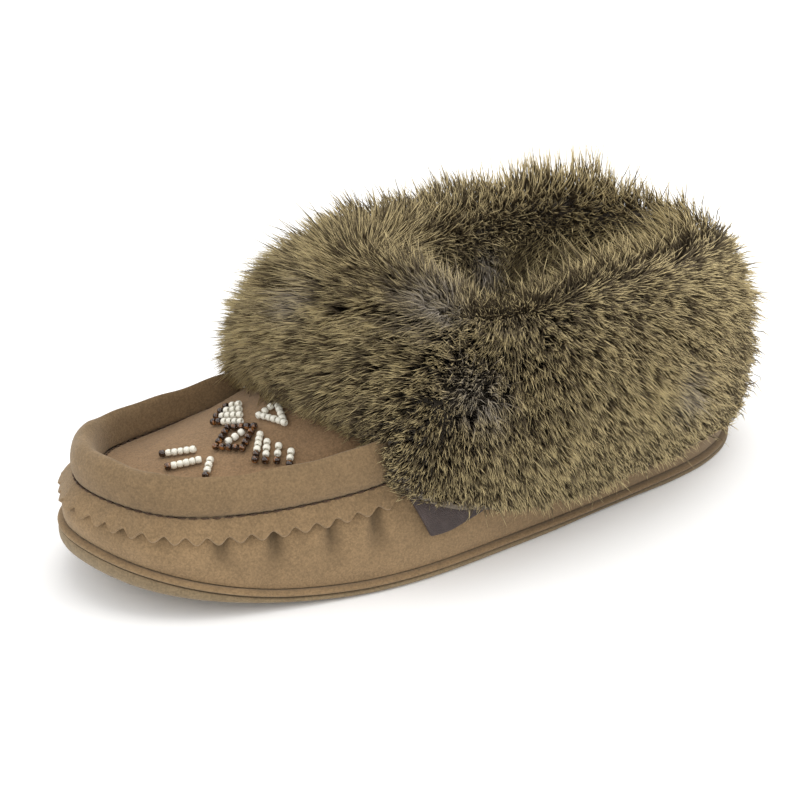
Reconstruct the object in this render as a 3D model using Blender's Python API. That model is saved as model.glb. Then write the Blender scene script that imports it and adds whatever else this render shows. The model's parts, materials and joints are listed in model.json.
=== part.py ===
"""Left moccasin slipper in suede, with a deep fur cuff round its collar.

The toe points along -Y, the outer side of the foot along +X, and the floor is
z = 0. Sizes are in metres. Every station is a share of the sole's length,
counted from the heel end, and every piece is placed by the same two functions:
outline() for the plan of the sole and skin() for the surface of the upper.
"""

import math

import bmesh
import bpy
import numpy as np
from mathutils import Matrix, Vector
from mathutils.bvhtree import BVHTree

# Driving sizes
SOLE_LENGTH = 0.258
BALL_WIDTH = 0.096
SEAM_HEIGHT = 0.030
THROAT_HEIGHT = 0.071
COLLAR_HEIGHT = 0.067
COLLAR_LENGTH = 0.143
COLLAR_WIDTH = 0.061
HEEL_LEAN = 0.010
UPPER_WALL = 0.0020
CLEARANCE = 0.0003

# Sole
TOE_SPRING = 0.012
ARCH_RISE = 0.0012
TOE_SOLE_HEIGHT = 0.0082
HEEL_SOLE_HEIGHT = 0.0040
SOLE_EDGE_ROUND = 0.0018
WELT_WIDTH = 0.0034
WELT_HEIGHT = 0.0018
INSOLE_THICKNESS = 0.0030
INSOLE_MARGIN = 0.0012

# Wall of the upper
WALL_INSET = 0.0022
WALL_BELLY = 0.0026

# Padded roll and pinked flap round the apron
ROLL_HEIGHT = 0.0118
ROLL_WIDTH = 0.0092
FLAP_DROP = 0.0060
FLAP_THICKNESS = 0.0012
TOOTH_PITCH = 0.0062
TOOTH_DEPTH = 0.0021

# Side tab
TAB_LENGTH = 0.0255
TAB_HEIGHT = 0.0094
TAB_THICKNESS = 0.0014

# Fur cuff
FUR_DEPTH = 0.0270
FUR_RISE = 0.0225
FUR_LINING_DEPTH = 0.0115
FUR_LINING_DROP = 0.0160
LOCK_LENGTH = 0.0075

# Bare apron along the middle, from the seam at the toe to the fur
APRON_SHOWN = 0.0685

# Beads
BEAD_DIAMETER = 0.0020
BEAD_PITCH = 0.0021

# The fur's backing keeps this much off the upper, whose facets cut its corners
BACKING_GAP = 0.0009

# Number of sections round the foot
AROUND = 58

# Plan of the sole: share of the length from the heel, share of the ball width
# outward from the long axis. The rows run from the toe along the outer side to
# the heel and back along the inner side.
PLAN = (
    # station, across
    (1.000, -0.165),
    (0.978, 0.085),
    (0.915, 0.265),
    (0.800, 0.395),
    (0.660, 0.488),
    (0.500, 0.498),
    (0.300, 0.482),
    (0.140, 0.437),
    (0.040, 0.295),
    (0.000, 0.060),
    (0.040, -0.190),
    (0.140, -0.312),
    (0.280, -0.330),
    (0.440, -0.312),
    (0.600, -0.395),
    (0.740, -0.490),
    (0.860, -0.500),
    (0.953, -0.405),
)

# Seam line of the upper, where the wall turns in over the foot: its distance
# inside the sole's edge as a share of the ball width, and its height as a
# share of the seam height. Rise is the power by which the skin climbs from
# there to the collar: above 1 it lies flat first, as the apron does.
SEAM = (
    # station, inset, height, rise
    (0.00, 0.030, 1.15, 1.00),
    (0.15, 0.040, 1.16, 1.00),
    (0.35, 0.055, 1.22, 1.00),
    (0.52, 0.070, 1.28, 0.92),
    (0.62, 0.080, 1.20, 0.88),
    (0.72, 0.088, 1.06, 1.00),
    (0.82, 0.090, 0.99, 1.25),
    (0.92, 0.085, 1.01, 1.85),
    (1.00, 0.080, 1.10, 2.40),
)

# Lower edge of the fur cuff on the skin of the upper, on the outer and inner
# side of the foot, where 0 is the sole, 1 the seam line and 2 the collar. Depth
# and the rise over the collar's outer and inner side are shares of the fur's
# own sizes.
CUFF = (
    # station, outer edge, inner edge, depth, outer rise, inner rise
    (0.00, 0.40, 0.40, 0.58, 0.72, 0.78),
    (0.12, 0.34, 0.34, 0.68, 0.82, 1.22),
    (0.35, 0.34, 0.34, 0.84, 0.78, 1.26),
    (0.52, 0.42, 0.40, 0.86, 0.52, 1.26),
    (0.60, 0.58, 0.56, 0.86, 0.36, 1.26),
    (0.645, 0.78, 0.80, 0.88, 0.34, 1.26),
    (0.68, 1.04, 1.10, 0.90, 0.42, 1.25),
    (0.72, 1.24, 1.24, 0.94, 0.56, 1.24),
    (0.78, 1.42, 1.36, 0.98, 0.74, 1.20),
    (0.86, 1.57, 1.50, 1.02, 0.92, 1.12),
    (1.00, 1.69, 1.69, 1.04, 1.06, 1.06),
)
CROWN_OUTER = 0.10
CROWN_INNER = 0.42

# Stretch of the seam that carries the roll and the flap, as stations where
# each runs in under the fur on the outer and on the inner side.
ROLL_END_OUTER = 0.735
ROLL_END_INNER = 0.765
FLAP_END_OUTER = 0.674
FLAP_END_INNER = 0.740

# Station of the side tab's front corner.
TAB_STATION = 0.660

# Middle of the bead figure: behind the seam at the toe, across as a share of
# the ball's width, and how far its tail turns inward.
FIGURE_BEHIND = 0.046815793742
FIGURE_ACROSS = -0.024
FIGURE_TURN = math.radians(8.0)

# Colour, roughness and metallic value of each material
MATERIALS = {
    "suede": ((0.33, 0.21, 0.115), 0.95, 0.0),
    "suede_sole": ((0.36, 0.25, 0.145), 0.95, 0.0),
    "welt_suede": ((0.44, 0.32, 0.19), 0.95, 0.0),
    "lining": ((0.16, 0.12, 0.08), 1.0, 0.0),
    "fur": ((0.15, 0.12, 0.065), 1.0, 0.0),
    "tab_leather": ((0.07, 0.048, 0.042), 0.6, 0.0),
    "white_bead": ((0.86, 0.84, 0.76), 0.25, 0.0),
    "dark_bead": ((0.045, 0.012, 0.004), 0.15, 0.0),
}


def smooth(rows, column, station):
    """Value of one column at a station, on a smooth curve through the rows."""
    stations = [row[0] for row in rows]
    values = [row[column] for row in rows]
    station = min(max(station, stations[0]), stations[-1])
    index = 0
    while index < len(rows) - 2 and station > stations[index + 1]:
        index += 1
    span = stations[index + 1] - stations[index]
    share = (station - stations[index]) / span

    def slope(place):
        before = max(place - 1, 0)
        after = min(place + 1, len(rows) - 1)
        return (values[after] - values[before]) / (stations[after] - stations[before])

    start, end = values[index], values[index + 1]
    rise_start = slope(index) * span
    rise_end = slope(index + 1) * span
    cube, square = share**3, share**2
    return (
        start * (2 * cube - 3 * square + 1)
        + rise_start * (cube - 2 * square + share)
        + end * (3 * square - 2 * cube)
        + rise_end * (cube - square)
    )


def through(points, steps, closed):
    """Points of a smooth curve that passes through the given points."""
    count = len(points)
    result = []
    for index in range(count if closed else count - 1):
        if closed:
            four = [points[(index + shift) % count] for shift in (-1, 0, 1, 2)]
        else:
            four = [points[min(max(index + shift, 0), count - 1)] for shift in (-1, 0, 1, 2)]
        before, start, end, after = (np.asarray(point, float) for point in four)
        for step in range(steps):
            t = step / steps
            result.append(
                start
                + 0.5 * t * (end - before)
                + t * t * (before - 2.5 * start + 2 * end - 0.5 * after)
                + t * t * t * (1.5 * (start - end) + 0.5 * (after - before))
            )
    if not closed:
        result.append(np.asarray(points[-1], float))
    return result


def plan_lengths():
    """Dense plan of the sole and the length along it to each of its points."""
    corners = [(BALL_WIDTH * across, SOLE_LENGTH * (0.5 - station)) for station, across in PLAN]
    dense = np.array(through(corners, 40, True))
    dense = np.vstack([dense, dense[:1]])
    lengths = np.concatenate([[0.0], np.cumsum(np.linalg.norm(np.diff(dense, axis=0), axis=1))])
    return dense, lengths


PLAN_POINTS, PLAN_LENGTHS = plan_lengths()


def plan_point(u):
    length = (u % 1.0) * PLAN_LENGTHS[-1]
    x = np.interp(length, PLAN_LENGTHS, PLAN_POINTS[:, 0])
    y = np.interp(length, PLAN_LENGTHS, PLAN_POINTS[:, 1])
    return np.array([x, y])


def outline(u, inset=0.0):
    """Point inside the sole's edge, its outward direction and its station.

    u runs from the toe (0) along the outer side to the heel and back to 1.
    """
    near = 0.012
    along = plan_point(u + near) - plan_point(u - near)
    along /= np.linalg.norm(along)
    outward = np.array([along[1], -along[0]])
    point = plan_point(u)
    station = 0.5 - point[1] / SOLE_LENGTH
    return point - inset * outward, outward, station


def u_at(station, outer):
    """Place on the outline of a station, on the outer or the inner side."""
    low, high = (0.01, 0.49) if outer else (0.99, 0.51)
    for _ in range(40):
        middle = 0.5 * (low + high)
        if outline(middle)[2] > station:
            low = middle
        else:
            high = middle
    return 0.5 * (low + high)


def step_between(low, high, value):
    share = min(max((value - low) / (high - low), 0.0), 1.0)
    return share * share * (3 - 2 * share)


def sole_spring(station):
    return TOE_SPRING * max((station - 0.70) / 0.30, 0.0) ** 1.8


def sole_arch(station):
    return ARCH_RISE * step_between(0.22, 0.33, station) * (1 - step_between(0.36, 0.47, station))


def sole_height(station):
    share = step_between(0.80, 1.02, station)
    return HEEL_SOLE_HEIGHT + (TOE_SOLE_HEIGHT - HEEL_SOLE_HEIGHT) * share


def sole_top(station):
    return sole_spring(station) + sole_height(station)


def collar_point(u):
    """Point of the collar's edge that belongs to a place on the outline."""
    plan, _, _ = outline(u)
    back = SOLE_LENGTH * 0.5 - HEEL_LEAN
    middle_y = back - COLLAR_LENGTH * 0.5
    lean = (plan[1] - middle_y) / SOLE_LENGTH
    middle_x = BALL_WIDTH * (0.030 + 0.055 * min(max(lean, -0.6), 0.6))
    across = (plan[0] - middle_x) / (COLLAR_WIDTH * 0.5)
    forward = (middle_y - plan[1]) / (COLLAR_LENGTH * 0.5)
    size = math.hypot(across, forward)
    across, forward = across / size, forward / size
    height = COLLAR_HEIGHT + (THROAT_HEIGHT - COLLAR_HEIGHT) * max(forward, 0.0) ** 2
    x = middle_x + COLLAR_WIDTH * 0.5 * across
    return np.array([x, middle_y - COLLAR_LENGTH * 0.5 * forward, height])


def seam_point(u):
    plan, outward, station = outline(u)
    plan = plan - outward * BALL_WIDTH * smooth(SEAM, 1, station)
    return np.array([plan[0], plan[1], SEAM_HEIGHT * smooth(SEAM, 2, station)])


def skin_point(u, v):
    """Point of the upper's outer surface: v is 0 at the sole, 1 at the seam and
    2 at the collar."""
    plan, outward, station = outline(u)
    seam = seam_point(u)
    if v <= 1.0:
        foot = plan - outward * WALL_INSET
        foot = np.array([foot[0], foot[1], sole_top(station) + CLEARANCE])
        belly = plan - outward * (WALL_INSET - WALL_BELLY)
        belly = np.array([belly[0], belly[1], foot[2] + 0.55 * (seam[2] - foot[2])])
        return (1 - v) ** 2 * foot + 2 * v * (1 - v) * belly + v * v * seam
    t = v - 1.0
    collar = collar_point(u)
    height = seam[2] + (collar[2] - seam[2]) * t ** smooth(SEAM, 3, station)
    across = seam + (collar - seam) * t
    return np.array([across[0], across[1], height])


def skin_normal(u, v):
    near = 0.02
    along = skin_point(u + 0.006, v) - skin_point(u - 0.006, v)
    upward = skin_point(u, min(v + near, 2.0)) - skin_point(u, max(v - near, 0.0))
    normal = np.cross(along, upward)
    return normal / np.linalg.norm(normal)


def skin(u, v, offset=0.0):
    """Point at a distance outside (or, below zero, inside) the upper's surface."""
    return skin_point(u, v) + skin_normal(u, v) * offset


def finish(name, mesh, material, smooth_angle=50.0):
    """Object with outward faces and its own material, in the slipper's collection."""
    body = bmesh.new()
    body.from_mesh(mesh)
    bmesh.ops.recalc_face_normals(body, faces=body.faces[:])
    body.to_mesh(mesh)
    body.free()
    mesh.shade_smooth()
    mesh.set_sharp_from_angle(angle=math.radians(smooth_angle))
    colour, roughness, metallic = MATERIALS[material]
    look = bpy.data.materials.new(name + "_" + material)
    look.use_nodes = True
    shader = look.node_tree.nodes["Principled BSDF"]
    shader.inputs["Base Color"].default_value = (*colour, 1.0)
    shader.inputs["Roughness"].default_value = roughness
    shader.inputs["Metallic"].default_value = metallic
    mesh.materials.append(look)
    item = bpy.data.objects.new(name, mesh)
    bpy.data.collections["slipper"].objects.link(item)
    return item


def loft(name, rows, material, closed_rows, caps, poke=None):
    """Skin a grid of points: each row is a closed profile.

    closed_rows joins the last profile to the first. caps is None, "ends" for a
    flat face on the first and last profile, or "ladder" for rows whose profiles
    are open, closed by strips from the outer to the inner side of the foot.
    poke gives a lock's tip for a cell of the grid, or None.
    """
    count, across = len(rows), len(rows[0])
    body = bmesh.new()
    points = [[body.verts.new(Vector(point)) for point in row] for row in rows]
    for i in range(count if closed_rows else count - 1):
        row, following = points[i], points[(i + 1) % count]
        for k in range(across - 1 if caps == "ladder" else across):
            m = (k + 1) % across
            corners = [row[k], following[k], following[m], row[m]]
            tip = poke(i, k) if poke else None
            if tip is None:
                body.faces.new(corners)
                continue
            top = body.verts.new(Vector(tip))
            for first, second in zip(corners, corners[1:] + corners[:1]):
                body.faces.new([first, second, top])
    if caps == "ends":
        body.faces.new(points[0])
        body.faces.new(points[-1])
    if caps == "ladder":
        half = count // 2
        for k in (0, across - 1):
            edge = [row[k] for row in points]
            body.faces.new([edge[0], edge[1], edge[-1]])
            for i in range(1, half - 1):
                body.faces.new([edge[i], edge[i + 1], edge[count - i - 1], edge[count - i]])
            body.faces.new([edge[half - 1], edge[half], edge[half + 1]])
    mesh = bpy.data.meshes.new(name)
    body.to_mesh(mesh)
    body.free()
    return finish(name, mesh, material)


def around(count):
    return [index / count for index in range(count)]


def level(plan, height):
    return np.array([plan[0], plan[1], height])


def make_outsole():
    """Soft sole: rounded lower edge, and a step all round that seats the welt."""
    rows = []
    for u in around(AROUND):
        _, _, station = outline(u)
        floor = sole_spring(station) + sole_arch(station)
        top = sole_top(station)
        ledge = top - WELT_HEIGHT - CLEARANCE
        shape = (
            # inset, height
            (SOLE_EDGE_ROUND * 1.6, floor),
            (SOLE_EDGE_ROUND * 0.35, floor + (ledge - floor) * 0.25),
            (0.0, floor + (ledge - floor) * 0.60),
            (SOLE_EDGE_ROUND * 0.2, ledge),
            (WELT_WIDTH + CLEARANCE, ledge),
            (WELT_WIDTH + CLEARANCE, top),
        )
        rows.append([level(outline(u, inset)[0], height) for inset, height in shape])
    return loft("outsole", rows, "suede_sole", True, "ladder")


def make_welt():
    """Narrow rounded strip that lies in the step of the sole's edge."""
    sides = 6
    rows = []
    for u in around(AROUND):
        _, _, station = outline(u)
        middle = sole_top(station) - WELT_HEIGHT * 0.5
        profile = []
        for side in range(sides):
            turn = 2 * math.pi * (side + 0.5) / sides
            inset = WELT_WIDTH * (0.5 - 0.5 * math.cos(turn)) + SOLE_EDGE_ROUND * 0.05
            height = middle + WELT_HEIGHT * 0.5 * math.sin(turn)
            profile.append(level(outline(u, min(inset, WELT_WIDTH))[0], height))
        rows.append(profile)
    return loft("welt", rows, "welt_suede", True, None)


def make_insole():
    rows = []
    inset = WALL_INSET + UPPER_WALL + INSOLE_MARGIN
    for u in around(AROUND):
        _, _, station = outline(u)
        base = sole_top(station) + CLEARANCE
        shape = (
            (inset, base),
            (inset, base + INSOLE_THICKNESS * 0.7),
            (inset + INSOLE_THICKNESS * 0.5, base + INSOLE_THICKNESS),
        )
        rows.append([level(outline(u, distance)[0], height) for distance, height in shape])
    return loft("insole", rows, "lining", True, "ladder")


def make_upper():
    """Hollow suede upper: one wall, open at the collar and underneath."""
    places = (0.0, 0.22, 0.45, 0.72, 0.92, 1.0, 1.09, 1.22, 1.38, 1.55, 1.72, 1.87, 2.0)
    rows = []
    for u in around(AROUND):
        outside = [skin(u, v) for v in places]
        inside = [skin(u, v, -UPPER_WALL) for v in reversed(places)]
        inside[-1][2] = outside[0][2]
        rows.append(outside + inside)
    return loft("upper", rows, "suede", True, None)


def below_seam(u, distance):
    """Place on the wall at a distance down from the seam, along the skin."""
    steps = 40
    last = skin_point(u, 1.0)
    for step in range(1, steps + 1):
        point = skin_point(u, 1.0 - step / steps)
        run = np.linalg.norm(point - last)
        if run >= distance:
            return 1.0 - (step - 1 + distance / run) / steps
        distance -= run
        last = point
    return 0.0


def stretch(end_outer, end_inner, count):
    """Places along the seam round the toe, from the outer to the inner end."""
    first, last = u_at(end_outer, True), u_at(end_inner, False) - 1.0
    return [first + (last - first) * index / (count - 1) for index in range(count)]


def roll_frame(u):
    """Outer and inner foot of the roll on the skin, and the way out from it."""
    foot = skin(u, 1.0, 2 * CLEARANCE)
    run = np.linalg.norm(collar_point(u)[:2] - seam_point(u)[:2])
    inner = skin(u, 1.0 + ROLL_WIDTH * 0.74 / run, 3 * CLEARANCE)
    outward = outline(u)[1]
    return foot, inner, np.array([outward[0], outward[1], 0.0])


def make_roll():
    """Padded roll on the seam line, standing round the sunken apron."""
    shape = (
        # share of the way in, outward and upward as shares of width and height
        (0.00, 0.00, 0.03),
        (0.00, 0.26, 0.18),
        (0.00, 0.34, 0.46),
        (0.00, 0.24, 0.76),
        (0.03, 0.00, 0.96),
        (0.43, 0.00, 0.99),
        (0.81, 0.00, 0.78),
        (0.97, 0.00, 0.44),
        (1.00, 0.00, 0.10),
        (0.50, 0.00, 0.08),
    )
    rows = []
    for u in stretch(ROLL_END_OUTER, ROLL_END_INNER, 34):
        foot, inner, outward = roll_frame(u)
        profile = []
        for share, out, up in shape:
            point = foot + (inner - foot) * share + outward * ROLL_WIDTH * out
            profile.append(point + np.array([0, 0, ROLL_HEIGHT * up]))
        rows.append(profile)
    return loft("apron_roll", rows, "suede", False, "ends")


def make_flap():
    """Pinked edge of the apron, hanging outside the wall below the seam."""
    first, last = u_at(FLAP_END_OUTER, True), u_at(FLAP_END_INNER, False) - 1.0
    teeth = round(abs(last - first) * PLAN_LENGTHS[-1] * 0.93 / TOOTH_PITCH)
    rows = []
    for index in range(2 * teeth + 1):
        u = first + (last - first) * index / (2 * teeth)
        low = below_seam(u, FLAP_DROP + (TOOTH_DEPTH if index % 2 else 0.0))
        high = below_seam(u, 0.5 * FLAP_THICKNESS)
        inner = 2 * CLEARANCE
        outer = inner + FLAP_THICKNESS
        middle = 0.5 * (low + high)
        rows.append([
            skin(u, high, inner),
            skin(u, middle, inner),
            skin(u, low, inner),
            skin(u, low, outer),
            skin(u, middle, outer),
            skin(u, high, outer),
        ])
    return loft("pinked_flap", rows, "suede", False, "ends")


def make_tab():
    """Bare leather tab on the outer side, its long edge up against the fur."""
    start = u_at(TAB_STATION, True)
    per_length = 1.0 / PLAN_LENGTHS[-1]
    columns = 6
    rows = []
    for index in range(columns + 1):
        share = index / columns
        u = start + TAB_LENGTH * share * per_length
        _, _, station = outline(u)
        wall = SEAM_HEIGHT * smooth(SEAM, 2, station) - sole_top(station)
        top = smooth(CUFF, 1, station) - 5 * CLEARANCE / wall
        reach = min(share / 0.22, (1.0 - share) / 0.78)
        bottom = top - (TAB_THICKNESS + TAB_HEIGHT * min(reach, 1.0)) / wall
        inner = 3 * CLEARANCE
        outer = inner + TAB_THICKNESS
        rows.append([
            skin(u, top, inner),
            skin(u, 0.5 * (top + bottom), inner),
            skin(u, bottom, inner),
            skin(u, bottom, outer),
            skin(u, 0.5 * (top + bottom), outer),
            skin(u, top, outer),
        ])
    return loft("side_tab", rows, "tab_leather", False, "ends")


def cuff_edge(column, station):
    """Lower edge of the cuff on the skin. Past the seam the table's places are
    stretched so that the bare apron keeps its length in the middle."""
    edge = smooth(CUFF, column, station)
    if edge <= 1.0:
        return edge
    run = np.linalg.norm(collar_point(0.0)[:2] - seam_point(0.0)[:2])
    return 1.0 + (edge - 1.0) * APRON_SHOWN / (run * (CUFF[-1][column] - 1.0))


def cuff_profile(u):
    """Closed section of the cuff: the fur's outside from its lower edge over
    the crown to the lining, then back along the wall of the upper."""
    _, _, station = outline(u)
    outer_side = (u % 1.0) < 0.5
    blend = step_between(0.0, 0.06, min(u % 1.0, 1.0 - u % 1.0))
    front = cuff_edge(1, CUFF[-1][0])
    edge = front + (cuff_edge(1 if outer_side else 2, station) - front) * blend
    depth = FUR_DEPTH * smooth(CUFF, 3, station) - LOCK_LENGTH * 0.7
    inner_share = 0.5 - 0.5 * math.tanh(outline(u)[0][0] / (0.16 * BALL_WIDTH))
    rise = smooth(CUFF, 4, station) * (1 - inner_share) + smooth(CUFF, 5, station) * inner_share
    rise = FUR_RISE * rise - LOCK_LENGTH * 0.4
    crown = CROWN_OUTER + (CROWN_INNER - CROWN_OUTER) * inner_share
    gap = BACKING_GAP

    rim = skin(u, 2.0, -UPPER_WALL * 0.5)
    wide = collar_point(u) - collar_point(u + 0.5)
    outward = np.array([wide[0], wide[1], 0.0]) / math.hypot(wide[0], wide[1])
    upward = np.array([0.0, 0.0, 1.0])
    span = np.linalg.norm(skin_point(u, 2.0) - skin_point(u, 1.0))
    lining_end = 2.0 - FUR_LINING_DROP / span

    foot = skin(u, edge, gap)
    foot_out = skin_normal(u, edge)
    down = skin_point(u, edge - 0.03) - skin_point(u, edge)
    down /= np.linalg.norm(down)
    low = edge + (2.0 - edge) * 0.34
    high = edge + (2.0 - edge) * 0.70
    lining = skin(u, lining_end, -UPPER_WALL - gap)
    inward = -skin_normal(u, lining_end)
    fur = [
        foot,
        foot + foot_out * depth * 0.42 + down * depth * 0.05,
        skin(u, low, depth * 0.92),
        skin(u, high, depth) + upward * rise * 0.15,
        rim + outward * depth * (0.68 + 0.4 * crown) + upward * rise * 0.70,
        rim + outward * depth * crown + upward * rise,
        rim - outward * FUR_LINING_DEPTH * (0.78 - crown) + upward * rise * 0.62,
        rim - outward * FUR_LINING_DEPTH - upward * FUR_LINING_DROP * 0.20,
        lining + inward * FUR_LINING_DEPTH * 0.55,
        lining,
    ]
    fur = through(fur, 2, False)
    inside = [skin(u, lining_end + (2.0 - lining_end) * 0.5, -UPPER_WALL - gap)]
    inside.append(skin(u, 2.0, -UPPER_WALL - gap) + upward * gap)
    bend = max(1.0, edge + 0.12 * (2.0 - edge))
    outside = [skin(u, 2.0, gap) + upward * gap]
    for v in (bend + (2.0 - bend) * 0.66, bend + (2.0 - bend) * 0.33, bend, 0.5 * (bend + edge)):
        outside.append(skin(u, v, gap))
    return fur, inside + outside


def make_cuff():
    """Deep fur round the collar: a soft ring with its locks fused on."""
    random = np.random.default_rng(7)
    profiles = [cuff_profile(u) for u in around(AROUND)]
    rows = [fur + wall for fur, wall in profiles]
    fur_cells = len(profiles[0][0]) - 1
    crown = fur_cells * 0.55

    def lock(i, k):
        if k >= fur_cells:
            return None
        following = rows[(i + 1) % AROUND]
        corners = [rows[i][k], following[k], following[k + 1], rows[i][k + 1]]
        middle = sum(corners) / 4
        along = (corners[1] + corners[2] - corners[0] - corners[3]) / 2
        path = (corners[2] + corners[3] - corners[0] - corners[1]) / 2
        normal = np.cross(along, path)
        normal /= np.linalg.norm(normal)
        comb = -1.0 if k < crown else 1.0
        ends = min(k + 0.5, fur_cells - k - 0.5) / (fur_cells * 0.25)
        length = LOCK_LENGTH * min(ends, 1.0) * random.uniform(0.7, 1.05)
        away = min(abs(k - crown) / 3.0, 1.0)
        return middle + normal * length + path * comb * 0.55 * away + along * random.uniform(-0.2, 0.2)

    return loft("fur_cuff", rows, "fur", True, None, lock)


def apron_frame(surface):
    """Function that lays a place of the bead figure on the apron.

    The figure is drawn in steps of one bead, with forward toward the toe.
    """
    middle = Vector((BALL_WIDTH * FIGURE_ACROSS, seam_point(0.0)[1] + FIGURE_BEHIND, 0.0))
    forward = Vector((-math.sin(FIGURE_TURN), -math.cos(FIGURE_TURN), 0.0))
    outward = Vector((-forward.y, forward.x, 0.0))

    def lay(ahead, aside, lift):
        place = middle + (forward * ahead + outward * aside) * BEAD_PITCH
        hit, normal, _, _ = surface.ray_cast(place + Vector((0, 0, THROAT_HEIGHT)), Vector((0, 0, -1)))
        return hit + normal * lift

    return lay


BEAD_LIFT = CLEARANCE + BEAD_DIAMETER * 0.5

# Rows of beads that stand alone: first end and last end in bead steps ahead of
# and beside the figure's middle, where beside is toward the outer side.
BEAD_BARS = (
    # name, first ahead, first aside, last ahead, last aside
    ("tail_bar_1", 6.1, -1.7, 10.2, -3.8),
    ("tail_bar_2", 6.3, 1.3, 10.7, 0.2),
    ("tail_bar_3", 4.9, 2.4, 6.6, 5.1),
    ("outer_feather_1", -3.1, 2.3, -0.7, 6.1),
    ("outer_feather_2", -3.4, 4.3, -1.9, 7.1),
    ("outer_feather_3", -4.5, 6.0, -3.3, 8.1),
    ("outer_feather_4", -5.6, 8.0, -4.6, 9.7),
    ("inner_feather_1", -2.0, -2.8, 0.9, -6.8),
    ("inner_feather_2", -2.6, -4.6, -0.1, -8.2),
    ("inner_feather_3", -3.2, -6.4, -1.2, -9.3),
    ("inner_feather_4", -3.8, -8.2, -2.4, -10.2),
    ("diamond_core", -1.1, -0.2, 1.1, 0.2),
)

# Corners of the closed bead outlines, in bead steps, and their material.
BEAD_FRAMES = (
    # name, corners as (ahead, aside), material
    ("diamond_frame", ((3.1, 0.0), (0.0, 3.0), (-3.1, 0.0), (0.0, -3.0)), "dark_bead"),
    ("head_frame", ((-4.6, -1.6), (-7.6, -1.9), (-6.8, 2.8)), "white_bead"),
)


def bead_bar(name, lay, first, last, material):
    """Short bar that holds the room of one straight row of beads."""
    start, end = lay(*first, BEAD_LIFT), lay(*last, BEAD_LIFT)
    body = bmesh.new()
    length = (end - start).length + BEAD_DIAMETER * 0.8
    radius = BEAD_DIAMETER * 0.5
    bmesh.ops.create_cone(
        body, cap_ends=True, segments=8, radius1=radius, radius2=radius, depth=length
    )
    turn = (end - start).to_track_quat("Z", "Y").to_matrix().to_4x4()
    bmesh.ops.transform(body, matrix=Matrix.Translation((start + end) / 2) @ turn, verts=body.verts)
    mesh = bpy.data.meshes.new(name)
    body.to_mesh(mesh)
    body.free()
    return finish(name, mesh, material)


def bead_frame(name, lay, corners, material):
    """Closed outline of beads: an eight-sided rod bent round its corners."""
    places = [lay(ahead, aside, BEAD_LIFT) for ahead, aside in corners]
    middle = sum(places, Vector()) / len(places)
    normal = (places[1] - places[0]).cross(places[2] - places[1]).normalized()
    rows = []
    for index, place in enumerate(places):
        before = (place - places[index - 1]).normalized()
        after = (places[(index + 1) % len(places)] - place).normalized()
        miter = (before - after).normalized()
        widen = 1.0 / math.sqrt(0.5 * (1 + before.dot(after)))
        if miter.dot(place - middle) < 0:
            miter = -miter
        profile = []
        for side in range(6):
            turn = 2 * math.pi * side / 6
            out = miter * math.cos(turn) * widen
            profile.append(place + (out + normal * math.sin(turn)) * BEAD_DIAMETER * 0.5)
        rows.append([np.array(point) for point in profile])
    return loft(name, rows, material, True, None)


def make_beads(surface):
    lay = apron_frame(surface)
    for name, first_ahead, first_aside, last_ahead, last_aside in BEAD_BARS:
        first, last = (first_ahead, first_aside), (last_ahead, last_aside)
        bead_bar(name, lay, first, last, "white_bead")
    for name, corners, material in BEAD_FRAMES:
        bead_frame(name, lay, corners, material)


def surface_of(item):
    body = bmesh.new()
    body.from_mesh(item.data)
    tree = BVHTree.FromBMesh(body)
    body.free()
    return tree


def main():
    for item in list(bpy.data.objects):
        bpy.data.objects.remove(item)
    slipper = bpy.data.collections.new("slipper")
    bpy.context.scene.collection.children.link(slipper)
    make_outsole()
    make_welt()
    make_insole()
    upper = make_upper()
    make_roll()
    make_flap()
    make_tab()
    make_cuff()
    make_beads(surface_of(upper))


main()
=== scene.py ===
"""Looks of a left moccasin slipper: suede, padded roll, bead figure and deep fur.

Run as a script in Blender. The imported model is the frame: every piece below is
placed by the same plan, seam and cuff tables that the solids were made from.
"""

import json
import math

import bmesh
import bpy
import numpy as np
from bpy.props import FloatProperty, FloatVectorProperty, IntProperty, PointerProperty
from mathutils import Matrix, Vector
from mathutils.bvhtree import BVHTree
from mathutils.kdtree import KDTree

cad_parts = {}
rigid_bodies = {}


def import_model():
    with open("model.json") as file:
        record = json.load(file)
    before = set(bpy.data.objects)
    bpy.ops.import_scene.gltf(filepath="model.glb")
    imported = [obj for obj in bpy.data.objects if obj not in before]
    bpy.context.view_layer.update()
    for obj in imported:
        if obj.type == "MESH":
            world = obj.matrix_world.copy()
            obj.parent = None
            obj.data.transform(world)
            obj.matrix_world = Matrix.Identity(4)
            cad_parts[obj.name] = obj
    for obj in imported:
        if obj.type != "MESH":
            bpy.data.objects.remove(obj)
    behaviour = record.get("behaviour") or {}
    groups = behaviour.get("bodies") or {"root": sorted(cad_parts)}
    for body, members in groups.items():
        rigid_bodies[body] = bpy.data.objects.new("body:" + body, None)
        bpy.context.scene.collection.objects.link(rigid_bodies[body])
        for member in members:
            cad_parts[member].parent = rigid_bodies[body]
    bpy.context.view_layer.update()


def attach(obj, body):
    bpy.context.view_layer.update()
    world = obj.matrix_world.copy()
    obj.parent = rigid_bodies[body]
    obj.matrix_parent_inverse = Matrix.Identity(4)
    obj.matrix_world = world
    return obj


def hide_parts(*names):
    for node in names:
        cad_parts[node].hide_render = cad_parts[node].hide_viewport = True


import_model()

bl_info = {
    "name": "Moccasin slipper",
    "version": (1, 0, 0),
    "blender": (4, 5, 0),
    "location": "View3D > Sidebar > Slipper",
    "description": "Builds the suede, beads and fur of a moccasin slipper round its solids",
    "category": "Object",
}

MM = 0.001

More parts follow.
